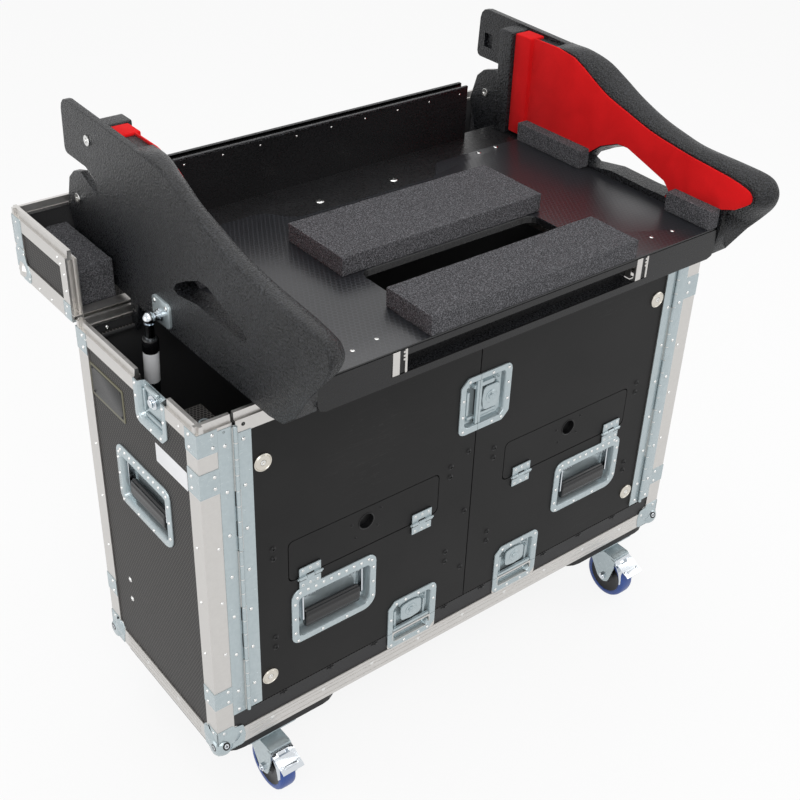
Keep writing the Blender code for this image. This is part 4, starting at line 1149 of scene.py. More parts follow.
    def rim_screws(self) -> None:
        """Fix the upper rails with small dark screws on the front and white rivets elsewhere."""
        self.shop.stud("rim_screws_front", cross_screw(0.0032, 0.0010), Wall.FRONT.matrix,
                       [(s * 0.4925, 0.6497) for s in (-1, 1)], self.skin, "base", Look.BLACK_STEEL_AND_SHADE)
        pale = Form()
        head = rivet(0.0028, 0.0011)
        for wall, spots in ((Wall.LEFT, (-0.155, 0.135)), (Wall.RIGHT, (0.155, -0.135)),
                            (Wall.REAR, (-0.36, -0.12, 0.12, 0.36))):
            pale.stamp(heads(head, wall.matrix, [(u, 0.648) for u in spots], self.skin))
        self.shop.make("rim_rivets", pale, Look.WHITE_STEEL, "base")
        spots = [(x, 0.6471) for x in (-0.49, -0.25, 0.0, 0.25, 0.49)]
        face = facing_front(0.0, 0.172)
        self.shop.stud("rim_screws_inside", cross_screw(0.0038, 0.0016), face, spots, 0.0, "base")

    def markings(self) -> None:
        """Add the bare plate, the bare label, two bolts and the catches of the kick board."""
        left = Wall.LEFT.matrix
        plate = Form().slab(rounded(-0.155, -0.043, 0.548, 0.610, 0.004), 0.0, 0.0010, 0.0005, left)
        self.shop.make("side_plate", plate, Look.PLATE, "base")
        field = Form().slab(rounded(-0.150, -0.048, 0.553, 0.605, 0.003), 0.0, 0.0014, 0.0003, left)
        self.shop.make("side_plate_field", field, Look.BLACK_STEEL_AND_SHADE, "base")
        spots = [(u, v) for u in (-0.1455, -0.0525) for v in (0.5565, 0.6015)]
        self.shop.stud("side_plate_rivets", rivet(0.0022, 0.0010), left, spots, 0.0014, "base",
                       Look.BLACK_STEEL_AND_SHADE)
        label = Form().slab(rounded(0.052, 0.146, 0.536, 0.5705, 0.0012), 0.0, 0.0003, 0.0001, left)
        self.shop.make("side_label", label, Look.PAPER, "base")
        bolts = Form()
        for side in Side:
            wall = WALL_OF[side]
            for z in (0.190, 0.145):
                matrix = wall.matrix @ shift(wall.along(0.0938), z, 0.0)
                bolts.turn([(0.0052, -0.001), (0.0052, 0.0008), (0.0044, 0.0012)], matrix, 18)
                bolts.stamp(cross_screw(0.0038, 0.0022), matrix @ shift(0, 0, 0.0010))
        self.shop.make("anchor_bolts", bolts, Look.WHITE_STEEL, "base")
        catches = Form()
        for x in (0.046, 0.208, 0.305, 0.402):
            for sign in (-1, 1):
                matrix = Wall.FRONT.matrix @ shift(sign * x, 0.0655, 0.0)
                catches.slab(rounded(-0.0075, 0.0075, -0.0022, 0.0022, 0.0018, 3), 0.0, 0.0012,
                             0.0004, matrix)
                catches.stamp(cross_screw(0.0026, 0.0010), matrix @ shift(0, 0, 0.0012))
        self.shop.make("kick_board_catches", catches, Look.BLACK_STEEL_AND_SHADE, "base")
        ring = Form()
        for side in Side:
            spot = level_at(side.value * 0.492, -0.132, 0.636)
            profile = [(0.0048, 0.0), (0.0085, 0.0), (0.0085, 0.0010), (0.0072, 0.0016),
                       (0.0048, 0.0012)]
            ring.turn(profile, spot, 24, closed=True)
        self.shop.make("corner_block_rings", ring, Look.ZINC, "base")


@dataclass
class LongHinge:
    """Piano hinge between a post and its door."""

    shop: Workshop
    axis_x: float = 0.475
    axis_y: float = -0.189
    barrel: float = 0.0036
    low: float = 0.076
    high: float = 0.655
    slot_pitch: float = 0.0556
    rivets: tuple[float, ...] = (0.6255, 0.542, 0.4595, 0.377, 0.294, 0.2115, 0.128, 0.0855)

    def build(self, side: Side) -> None:
        """Cover the CAD leaves with pressed ones and lay the barrel, with painted shadow in its
        gaps.
        """
        out = SKIN
        wall = Wall.FRONT.matrix
        head = rivet(0.0034, 0.0021)
        for name, body, near, far, high, mid in (
                ("post", "base", 0.4785, 0.5035, self.high, 0.4920),
                ("door", f"door_{side.word}", 0.4472, 0.4715, self.high - 0.0165, 0.4610)):
            leaf = Form().box(side.span(near, far), (self.low, high), (out - 0.0004, out + 0.0009),
                              0.0003, wall)
            self.shop.make(f"hinge_leaf_{name}_{side.word}", leaf, Look.ZINC, body)
            spots = [(side.value * mid, z) for z in self.rivets if z < high]
            self.shop.stud(f"hinge_rivets_{name}_{side.word}", head, wall, spots, out + 0.0009,
                           body)
        self.barrels(side)

    def barrels(self, side: Side) -> None:
        """Lay the knuckles end to end, with blocks of painted shadow in the gaps beside every other
        one.
        """
        axis = level_at(side.value * self.axis_x, self.axis_y, 0.0)
        parts = {0: Form(), 1: Form()}
        count = int((self.high - self.low) / self.slot_pitch * 2)
        step = (self.high - self.low) / count
        for i in range(count):
            low, high = self.low + i * step + GAP, self.low + (i + 1) * step - GAP
            parts[i % 2].turn(knuckle(self.barrel, low, high, 0.0006), axis, 14)
        self.shop.make(f"hinge_barrel_post_{side.word}", parts[0], Look.ZINC, "base")
        self.shop.make(f"hinge_barrel_door_{side.word}", parts[1], Look.ZINC, f"door_{side.word}")
        # Dark blocks behind every other knuckle: painted shadow in the gaps between the barrel and
        # the post's leaf.
        gap_shadows = Form()
        us = side.span(0.4772, 0.4796)
        for i in range(1, count, 2):
            low = self.low + i * step + GAP
            gap_shadows.box(us, (low, low + step - 2 * GAP), (0.001, 0.0035), 0.0, Wall.FRONT.matrix)
        self.shop.make(f"hinge_gaps_{side.word}", gap_shadows, Look.BLACK_STEEL_AND_SHADE, "base")


@dataclass
class FrontDoors:
    """Doors with their flaps, magnets and screws."""

    shop: Workshop
    magnet_x: float = 0.4285
    magnets: tuple[float, ...] = (0.5677, 0.1217)
    flap_axis_z: float = 0.306
    flap_axis_y: float = -0.187

    def build(self) -> None:
        """Dress both doors."""
        for side in Side:
            word = side.word
            self.shop.dress(Look.BOARD, f"door_{word}", f"flap_{word}")
            self.shop.dress(Look.ALUMINIUM, f"door_trim_{word}")
            LongHinge(self.shop).build(side)
            self.magnet_discs(side)
            self.screws(side)
            self.flap_hinges(side)
            self.finger_ring(side)

    def magnet_discs(self, side: Side) -> None:
        """Fix two ringed discs near the hinge."""
        form, core = Form(), Form()
        for z in self.magnets:
            matrix = Wall.FRONT.matrix @ shift(side.value * self.magnet_x, z)
            form.turn([(0.0155, 0.0), (0.0155, 0.0022), (0.0148, 0.0028), (0.0136, 0.0028),
                       (0.0131, 0.0022), (0.0125, 0.0028), (0.0055, 0.0028), (0.0050, 0.0018)],
                      matrix, 40)
            core.stamp(cross_screw(0.0046, 0.0012, sunk=True), matrix @ shift(0, 0, 0.0018))
        self.shop.make(f"magnet_discs_{side.word}", form, Look.NICKEL, f"door_{side.word}")
        self.shop.make(f"magnet_screws_{side.word}", core, Look.WHITE_STEEL, f"door_{side.word}")

    def screws(self, side: Side) -> None:
        """Set the black panel screws."""
        tables = {Side.LEFT: [(-0.415, 0.392), (-0.415, 0.3716), (-0.415, 0.202), (-0.415, 0.180),
                              (-0.052, 0.393), (-0.052, 0.3716), (-0.052, 0.2026), (-0.052, 0.1804),
                              (-0.0136, 0.4106), (-0.0136, 0.280), (-0.0136, 0.148)],
                  Side.RIGHT: [(0.047, 0.392), (0.047, 0.371), (0.0476, 0.2015), (0.0476, 0.180),
                               (0.4095, 0.204), (0.4095, 0.184), (0.4095, 0.392), (0.4095, 0.371)]}
        form = Form()
        for u, v in tables[side]:
            matrix = Wall.FRONT.matrix @ shift(u, v) @ Matrix.Rotation(40 * u + v, 4, "Z")
            form.turn([(0.0058, -0.0005), (0.0058, 0.0004), (0.0052, 0.0008)], matrix, 18)
            form.stamp(cross_screw(0.0045, 0.0022), matrix @ shift(0, 0, 0.0005))
        self.shop.make(f"door_screws_{side.word}", form, Look.BLACK_STEEL_AND_SHADE, f"door_{side.word}")
        spots = [(side.value * x, 0.6505) for x in (0.4595, 0.3525, 0.2455, 0.1385, 0.0315)]
        self.shop.stud(f"door_rail_screws_{side.word}", cross_screw(0.0032, 0.0010),
                       Wall.FRONT.matrix, spots, SKIN, f"door_{side.word}", Look.BLACK_STEEL_AND_SHADE)

    def flap_hinges(self, side: Side) -> None:
        """Build the two small hinges of a flap."""
        centres = {Side.LEFT: (-0.347, -0.114), Side.RIGHT: (0.118, 0.351)}[side]
        fixed, moving, marks = Form(), Form(), {0: Form(), 1: Form()}
        axis = facing_side(1, 0.0, self.flap_axis_y, self.flap_axis_z)
        screw = cross_screw(0.0026, 0.0006, sunk=True)
        for centre in centres:
            wall = Wall.FRONT.matrix @ shift(centre, 0.0)
            for part, low, high in ((fixed, 0.2848, 0.3032), (moving, 0.3092, 0.3272)):
                leaf = rounded(-0.0212, 0.0212, low, high, 0.001, 2)
                part.slab(leaf, 0.0015, 0.0032, 0.0003, wall)
            for low, high, part in ((-0.0222, -0.0078, fixed), (0.0078, 0.0222, fixed),
                                    (-0.0074, 0.0074, moving)):
                part.turn(knuckle(0.0034, low, high), axis @ shift(0, 0, centre), 14)
            fixed.box((-0.021, 0.021), (0.3020, 0.3050), (0.0015, 0.0032), 0.0, wall)
            moving.box((-0.0072, 0.0072), (0.3065, 0.3100), (0.0015, 0.0032), 0.0, wall)
            fixed.turn([(0.0018, -0.0250), (0.0018, 0.0250)], axis @ shift(0, 0, centre), 10)
            for low, part in ((0.2905, 0), (0.3215, 1)):
                marks[part].stamp(heads(screw, wall, [(-0.0145, low), (0.0, low), (0.0145, low)],
                                        0.0032))
        for form, word, body in ((fixed, "fixed", f"door_{side.word}"),
                                 (moving, "moving", f"flap_{side.word}")):
            self.shop.make(f"flap_hinge_{word}_{side.word}", form, Look.ZINC, body)
        for key, body in ((0, f"door_{side.word}"), (1, f"flap_{side.word}")):
            self.shop.make(f"flap_hinge_screws_{key}_{side.word}", marks[key], Look.WHITE_STEEL,
                           body)

    def finger_ring(self, side: Side) -> None:
        """Line the finger hole and set three small screws round it."""
        wall = Wall.FRONT.matrix
        hole = wall @ shift(side.value * 0.232, 0.361)
        form = Form().turn([(0.0142, -0.0095), (0.0142, 0.0004), (0.0150, 0.0010), (0.0162, 0.0006),
                            (0.0164, 0.0), (0.0151, -0.0004), (0.0151, -0.0095)], hole, 36,
                           closed=True)
        form.turn([(0.0145, -0.0112), (0.0145, -0.0100)], hole, 36)
        spots = [(0.030, 0.014), (-0.030, 0.004), (-0.022, -0.026), (0.024, -0.020)]
        for u, v in spots:
            form.stamp(cross_screw(0.0028, 0.0008), hole @ shift(u, v))
        self.shop.make(f"finger_ring_{side.word}", form, Look.BLACK_STEEL_AND_SHADE, f"flap_{side.word}")


@dataclass
class Latches:
    """Butterfly latches on the doors and the half dishes on the side rims."""

    shop: Workshop
    depth: float = 0.0092
    edge: float = 0.0010
    lift: float = 0.0030

    def build(self) -> None:
        """Make all five latches."""
        front = Wall.FRONT.matrix
        self.latch("top", front @ shift(0.0145, 0.508), (0.0565, 0.057), 0, -0.0140, "door_right",
                   "door_left", "top_wing", ("top_latch_dish",), ("top_latch_keeper",),
                   ("top_latch_wing",))
        for side, x in ((Side.LEFT, -0.125), (Side.RIGHT, 0.128)):
            word = side.word
            self.latch(f"bottom_{word}", front @ shift(x, 0.090), (0.055, 0.056), 1, -0.0188,
                       f"door_{word}", "base", f"bottom_wing_{word}",
                       (f"bottom_latch_dish_{word}",), (), (f"bottom_latch_wing_{word}",))
        for side in Side:
            self.rim_half(side)

    def outline(self, half_u: float, half_v: float, back: float, soft: float) -> Outline:
        """Return the pressing's outline, drawn in by back and softened."""
        u, v, cut = half_u - back, half_v - back, 0.015 - 0.55 * back
        corners = [(-u, -v), (u - cut, -v), (u, -v + cut), (u, v), (-u + cut, v), (-u, v - cut)]
        radii = [0.013, 0.008, 0.008, 0.013, 0.008, 0.008]
        return fillet(corners, [max(r * soft, 0.0015) for r in radii], 4)

    def dish(self, half: Point) -> Form:
        """Return the whole pressed dish, centred on its frame."""
        steps = [(0.0155, -self.depth - 0.0012, 0.6), (0.0125, -0.002, 0.7), (0.0120, 0.0004, 0.8),
                 (0.0, 0.0004, 1.0), (0.0, self.lift - self.edge, 1.0),
                 (0.0004, self.lift - 0.0003, 1.0), (0.0012, self.lift, 1.0),
                 (0.0098, self.lift, 0.85), (0.0112, self.lift - 0.0004, 0.8),
                 (0.0124, self.lift - 0.0018, 0.75), (0.0140, -self.depth + 0.0016, 0.65),
                 (0.0160, -self.depth, 0.6)]
        return Form().loft([[(a, b, h) for a, b in self.outline(*half, d, soft)]
                            for d, h, soft in steps])

    def fittings(self, rise: float) -> Form:
        """Return the fittings on the dish's floor: keeper embossed by rise, ribs, coil spring."""
        floor = -self.depth
        form = Form()
        for span, soft, high, edge in (
                ((-0.0245, 0.0215, 0.0265, 0.0350), 0.0030, rise, 0.0016),
                ((-0.0330, 0.0330, -0.0370, -0.0290), 0.0035, 0.0040, 0.0020),
                ((0.0300, 0.0360, -0.0220, 0.0200), 0.0025, 0.0045, 0.0018),
                ((-0.0365, -0.0300, -0.0260, 0.0220), 0.0025, 0.0045, 0.0018)):
            form.slab(rounded(*span, soft, 4), floor - 0.0005, floor + high, edge)
        for u, v in ((-0.0300, 0.0300), (0.0275, 0.0305), (0.0275, -0.0255)):
            form.stamp(rivet(0.0026, 0.0014), shift(u, v, floor))
        coil = [Vector((0.0235 + 0.0010 * i, 0.0310 + 0.0020 * sin(i * 1.9),
                        floor + 0.0035 + 0.0016 * cos(i * 1.9))) for i in range(13)]
        return form.tube(coil, 0.0008, 6)

    def wing(self) -> Form:
        """Return the butterfly wing with its hub, lying across u."""
        top = self.lift - 0.0022
        plate = fillet([(-0.0235, -0.0170), (0.0, -0.0205), (0.0235, -0.0170), (0.0235, 0.0170),
                        (0.0, 0.0205), (-0.0235, 0.0170)],
                       [0.0090, 0.0150, 0.0090, 0.0090, 0.0150, 0.0090], 4)
        form = Form().slab(plate, top - 0.0040, top - 0.0016, 0.0009)
        form.turn([(0.0125, top - 0.0030), (0.0125, top - 0.0008), (0.0115, top), (0.0098, top),
                   (0.0086, top - 0.0009), (0.0058, top - 0.0009), (0.0052, top + 0.0004),
                   (0.0040, top + 0.0008)], count=32)
        form.box((-0.0030, 0.0030), (-0.0009, 0.0009), (top, top + 0.0012), 0.0003)
        return form

    def latch(self, name: str, place: Matrix, half: Point, axis: int, seam: float, body: str,
              keeper_body: str, wing_body: str, nodes: Sequence[str], keepers: Sequence[str],
              wings: Sequence[str]) -> None:
        """Make one latch in two halves.

        Args:
            name: Name of the latch.
            place: Frame at the middle of its outline.
            half: Half its width and height.
            axis: 0 where the seam is upright, 1 where it lies level.
            seam: Where the seam lies along that axis.
            body: Body of the half that holds the wing.
            keeper_body: Body of the other half.
            wing_body: Body of the wing.
            nodes: CAD nodes of the wing's half.
            keepers: CAD nodes of the other half.
            wings: CAD nodes of the wing.
        """
        hub = Vector((0.0155, 0.0, 0.0)) if axis == 0 else Vector((0.0, 0.0140, 0.0))
        whole = self.dish(half).stamp(self.fittings(0.0040 if axis else 0.0078))
        low, high, reach = seam - 0.0055, seam + 0.0055, half[1 - axis] - 0.0135
        hem = (-reach, reach, low, high) if axis else (low, high, -reach, reach)
        whole.slab(rounded(*hem, 0.0010, 2), -0.0040, 0.0010, 0.0006)
        for word, target, replaced, sign in (("dish", body, nodes, 1),
                                             ("keeper", keeper_body, keepers, -1)):
            if axis and sign < 0:
                ramp = [(-0.0198, -0.0060), (-0.0198, 0.0016), (-0.0380, -0.0060),
                        (-0.0380, -0.0095)]
                whole.loft([[(u, v, h) for v, h in ramp] for u in (-0.034, 0.034)])
            mesh = self.split(whole.mesh(name), axis, seam + sign * 0.0004, sign)
            mesh.transform(place)
            self.shop.make(f"latch_{word}_{name}", mesh, Look.ZINC, target, replaced)
            edge = self.edge_rivets(half, axis, seam, sign)
            self.shop.stud(f"latch_rivets_{word}_{name}", rivet(*DISH_RIVET), place, edge,
                           self.lift, target)
        turn = Matrix.Rotation(pi / 2 if axis == 0 else 0.0, 4, "Z")
        form = Form().stamp(self.wing(), place @ Matrix.Translation(hub) @ turn)
        self.shop.make(f"latch_wing_{name}", form, Look.ZINC, wing_body, wings)

    def edge_rivets(self, half: Point, axis: int, seam: float, sign: int) -> list[Point]:
        """Return where the rivets of one half stand."""
        u, v = half[0] - 0.0065, half[1] - 0.0065
        spots = [(-u + 0.002, -v + 0.002), (-u * 0.35, -v), (u * 0.35, -v), (u - 0.011, -v + 0.001),
                 (u, -v * 0.30), (u, v * 0.35), (u - 0.002, v - 0.002), (u * 0.25, v),
                 (-u * 0.35, v), (-u + 0.011, v - 0.001), (-u, v * 0.30), (-u, -v * 0.35)]
        return [s for s in spots if (s[axis] - seam) * sign > 0.004]

    @staticmethod
    def split(mesh: bpy.types.Mesh, axis: int, at: float, sign: int) -> bpy.types.Mesh:
        """Keep the part of a mesh on one side of a plane, closed along the cut.

        Args:
            mesh: The mesh.
            axis: 0 for u, 1 for v.
            at: Where the plane lies.
            sign: 1 keeps what lies beyond it, -1 the rest.

        Returns:
            The part that is kept.
        """
        normal = Vector((0.0, 0.0, 0.0))
        normal[axis] = float(sign)
        spot = Vector((0.0, 0.0, 0.0))
        spot[axis] = at
        bm = bmesh.new()
        bm.from_mesh(mesh)
        made = bmesh.ops.bisect_plane(bm, geom=bm.verts[:] + bm.edges[:] + bm.faces[:],
                                      plane_co=spot, plane_no=normal, clear_inner=True)
        rim = {item for item in made["geom_cut"] if isinstance(item, bmesh.types.BMEdge)}
        while rim:
            loop, queue = set(), [rim.pop()]
            while queue:
                edge = queue.pop()
                loop.add(edge)
                near = {other for vert in edge.verts for other in vert.link_edges if other in rim}
                rim -= near
                queue.extend(near)
            bmesh.ops.triangle_fill(bm, edges=list(loop), use_beauty=True)
        bmesh.ops.recalc_face_normals(bm, faces=bm.faces)
        bm.to_mesh(mesh)
        bm.free()
        return mesh

    def rim_half(self, side: Side) -> None:
        """Make the half dish at the top of a side wall."""
        wall = WALL_OF[side]
        place = wall.matrix @ shift(wall.along(-0.048), 0.636)
        half = (0.0478, 0.0510)
        whole = self.dish(half).stamp(self.fittings(0.0060),
                                      shift(-0.002, -0.006) @ Matrix.Scale(0.80, 4))
        mesh = self.split(whole.mesh("rim_half"), 1, 0.0236, -1)
        mesh.transform(place)
        self.shop.make(f"rim_latch_{side.word}", mesh, Look.ZINC, "base",
                       (f"side_latch_{side.word}",))
        knob = Form().turn([(0.0120, -0.010), (0.0120, -0.0035), (0.0112, -0.0025),
                            (0.0070, -0.0020), (0.0070, 0.0010), (0.0060, 0.0018)],
                           place @ shift(0.0, 0.002), 28)
        self.shop.make(f"rim_latch_knob_{side.word}", knob, Look.CHROME, "base")
        spots = [(-0.0395, -0.0425), (0.0, -0.0445), (0.030, -0.0435), (-0.0413, -0.004),
                 (0.0413, -0.008), (-0.0413, 0.018), (0.0413, 0.016)]
        self.shop.stud(f"rim_latch_rivets_{side.word}", rivet(*DISH_RIVET), place, spots, self.lift,
                       "base")


@dataclass
class Handles:
    """Recessed handles with sprung grips."""

    shop: Workshop
    half_u: float = 0.0865
    half_v: float = 0.0595
    depth: float = 0.0172
    lift: float = 0.0032
    pivot_v: float = 0.032
    pivot_h: float = -0.0085

    def build(self) -> None:
        """Make the four handles."""
        for side in Side:
            self.handle(f"door_{side.word}", Wall.FRONT.matrix @ shift(side.value * 0.297, 0.225),
                        f"door_{side.word}", f"door_grip_{side.word}",
                        f"door_handle_dish_{side.word}", f"door_handle_grip_{side.word}")
            self.handle(f"side_{side.word}", WALL_OF[side].matrix @ shift(0.0, 0.4355), "base",
                        f"side_grip_{side.word}", f"side_handle_dish_{side.word}",
                        f"side_handle_grip_{side.word}")

    def outline(self, back: Sequence[float], soft: float) -> Outline:
        """Return the pressing's outline drawn in by (side, bottom, top)."""
        side, low, high = back
        u = self.half_u - side
        corners = [(-u, -self.half_v + low), (u, -self.half_v + low), (u, self.half_v - high),
                   (-u, self.half_v - high)]
        return fillet(corners, [r * soft for r in (0.016, 0.026, 0.017, 0.020)], 6)

    def dish(self) -> Form:
        """Return the pressed dish."""
        floor = -self.depth
        steps = [((0.0170, 0.0165, 0.0240), floor - 0.0010, 0.35),
                 ((0.0128, 0.0128, 0.0195), -0.002, 0.45), ((0.0122, 0.0122, 0.0122), 0.0004, 0.60),
                 ((0.0, 0.0, 0.0), 0.0004, 1.0), ((0.0, 0.0, 0.0), self.lift - 0.0012, 1.0),
                 ((0.0004,) * 3, self.lift - 0.0004, 1.0), ((0.0013,) * 3, self.lift, 0.97),
                 ((0.0098, 0.0098, 0.0168), self.lift, 0.62),
                 ((0.0114, 0.0114, 0.0184), self.lift + 0.0006, 0.55),
                 ((0.0130, 0.0130, 0.0200), self.lift, 0.48),
                 ((0.0140, 0.0140, 0.0212), self.lift - 0.0020, 0.45),
                 ((0.0158, 0.0158, 0.0235), floor + 0.0020, 0.38),
                 ((0.0180, 0.0180, 0.0258), floor, 0.32)]
        return Form().loft([[(a, b, h) for a, b in self.outline(d, soft)] for d, h, soft in steps])

    def coil(self, start: float, end: float) -> Form:
        """Return one coil spring round the pivot."""
        turns, steps = 7, 84
        path = []
        for i in range(steps + 1):
            angle = 2 * pi * turns * i / steps
            path.append(Vector((start + (end - start) * i / steps,
                                self.pivot_v + 0.0048 * cos(angle),
                                self.pivot_h + 0.0048 * sin(angle))))
        return Form().tube(path, 0.0007, 5)

    def grip(self) -> Form:
        """Return the rubber sleeve with its long ribs."""
        section = []
        for i in range(40):
            turn = 2 * pi * i / 40
            ridge = 1.0 + 0.06 * cos(10 * turn)
            section.append((0.0172 * ridge * cos(turn) * (abs(cos(turn)) + 1e-6) ** -0.35,
                            0.0066 * ridge * sin(turn) * (abs(sin(turn)) + 1e-6) ** -0.35))
        rings = []
        for u, size in ((-0.0560, 0.86), (-0.0550, 0.97), (-0.0520, 1.0), (0.0520, 1.0),
                        (0.0550, 0.97), (0.0560, 0.86)):
            rings.append([(u, -0.0205 + a * size, self.pivot_h + 0.0012 + b * size)
                          for a, b in section])
        return Form().loft(rings)

    def bail(self) -> Form:
        """Return the steel arms and the pivot rod."""
        form = Form()
        across = crosswise()
        arm = fillet([(-0.0215, -0.0060), (0.0370, -0.0050), (0.0370, 0.0050), (-0.0215, 0.0060)],
                     [0.0045, 0.0045, 0.0045, 0.0045], 4)
        for sign in (-1, 1):
            low = sign * 0.0605 - 0.0013
            form.slab(arm, low, low + 0.0026, 0.0, across @ shift(0.0, self.pivot_h))
        form.turn([(0.0030, -0.0715), (0.0030, 0.0715)],
                  across @ shift(self.pivot_v, self.pivot_h, 0.0), 14)
        return form

    def handle(self, name: str, place: Matrix, body: str, grip_body: str, dish: str,
               grip: str) -> None:
        """Make one handle.

        Args:
            name: Name of the handle.
            place: Frame at its middle.
            body: Body of the dish.
            grip_body: Body of the grip.
            dish: CAD node of the dish.
            grip: CAD node of the grip.
        """
        self.shop.make(f"handle_dish_{name}", Form().stamp(self.dish(), place), Look.ZINC, body,
                       (dish,))
        top = self.half_v - 0.0085
        spots = [(-0.070 + 0.0155 * i, top + 0.001 * (i % 2)) for i in range(10)]
        spots += [(s * (self.half_u - 0.0062), v) for s in (1, -1) for v in (0.030, -0.002, -0.034)]
        spots += [(u, -self.half_v + 0.0062) for u in (-0.075, -0.025, 0.025)]
        spots += [(-0.076, self.half_v - 0.016), (0.0765, self.half_v - 0.012)]
        self.shop.stud(f"handle_rivets_{name}", rivet(*DISH_RIVET), place, spots, self.lift, body)
        sleeve = Form().stamp(self.grip(), place)
        self.shop.make(f"handle_sleeve_{name}", sleeve, Look.RUBBER, grip_body, (grip,), 50.0)
        self.shop.make(f"handle_bail_{name}", Form().stamp(self.bail(), place), Look.CHROME,
                       grip_body)
        springs = Form().stamp(self.coil(-0.056, -0.034), place).stamp(self.coil(0.034, 0.056),
                                                                       place)
        self.shop.make(f"handle_springs_{name}", springs, Look.CHROME, body)


def foam_block(low: Sequence[float], high: Sequence[float], seed: int,
               slope: float = 0.0) -> bpy.types.Mesh:
    """Make a cut foam block with eased, slightly uneven edges.

    Args:
        low: Lowest corner, in the case's own table.
        high: Highest corner.
        seed: Number that sets the unevenness.
        slope: How far the top drops towards the outer side.

    Returns:
        The block's mesh in the floor frame.
    """
    bm = bmesh.new()
    bmesh.ops.create_cube(bm, size=1.0)
    lo, hi = Vector(low), Vector(high)
    for vert in bm.verts:
        vert.co = Vector((lo.x if vert.co.x < 0 else hi.x, lo.y if vert.co.y < 0 else hi.y,
                          lo.z if vert.co.z < 0 else hi.z))
    bmesh.ops.bevel(bm, geom=bm.edges[:], offset=FOAM_EASE, segments=2, affect="EDGES", profile=0.6)
    for axis in range(3):
        size = hi[axis] - lo[axis]
        count = max(2, round(size / FOAM_STEP))
        for i in range(1, count):
            at = Vector((0.0, 0.0, 0.0))
            at[axis] = lo[axis] + size * i / count
            normal = Vector((0.0, 0.0, 0.0))
            normal[axis] = 1.0
            bmesh.ops.bisect_plane(bm, geom=bm.verts[:] + bm.edges[:] + bm.faces[:], plane_co=at,
                                   plane_no=normal)
    middle = (lo + hi) / 2
    noise.seed_set(FOAM_SEED)
    for vert in bm.verts:
        share = (vert.co.z - lo.z) / (hi.z - lo.z)
        outer = abs(vert.co.x) > abs(middle.x)
        wave = noise.noise_vector(vert.co * FOAM_WAVES + Vector((seed, 0.0, 0.0))) * FOAM_RIPPLE
        vert.co += Vector((wave.x, wave.y, wave.z * 0.8))
        for axis in range(3):
            vert.co[axis] = min(max(vert.co[axis], lo[axis]), hi[axis])
        if slope and outer:
            reach = (abs(vert.co.x) - abs(middle.x)) / (0.5 * (hi.x - lo.x))
            vert.co.z -= slope * share * min(1.0, reach)
    mesh = bpy.data.meshes.new("foam")
    bm.to_mesh(mesh)
    bm.free()
    mesh.transform(Matrix.Translation(LIFT))
    return mesh


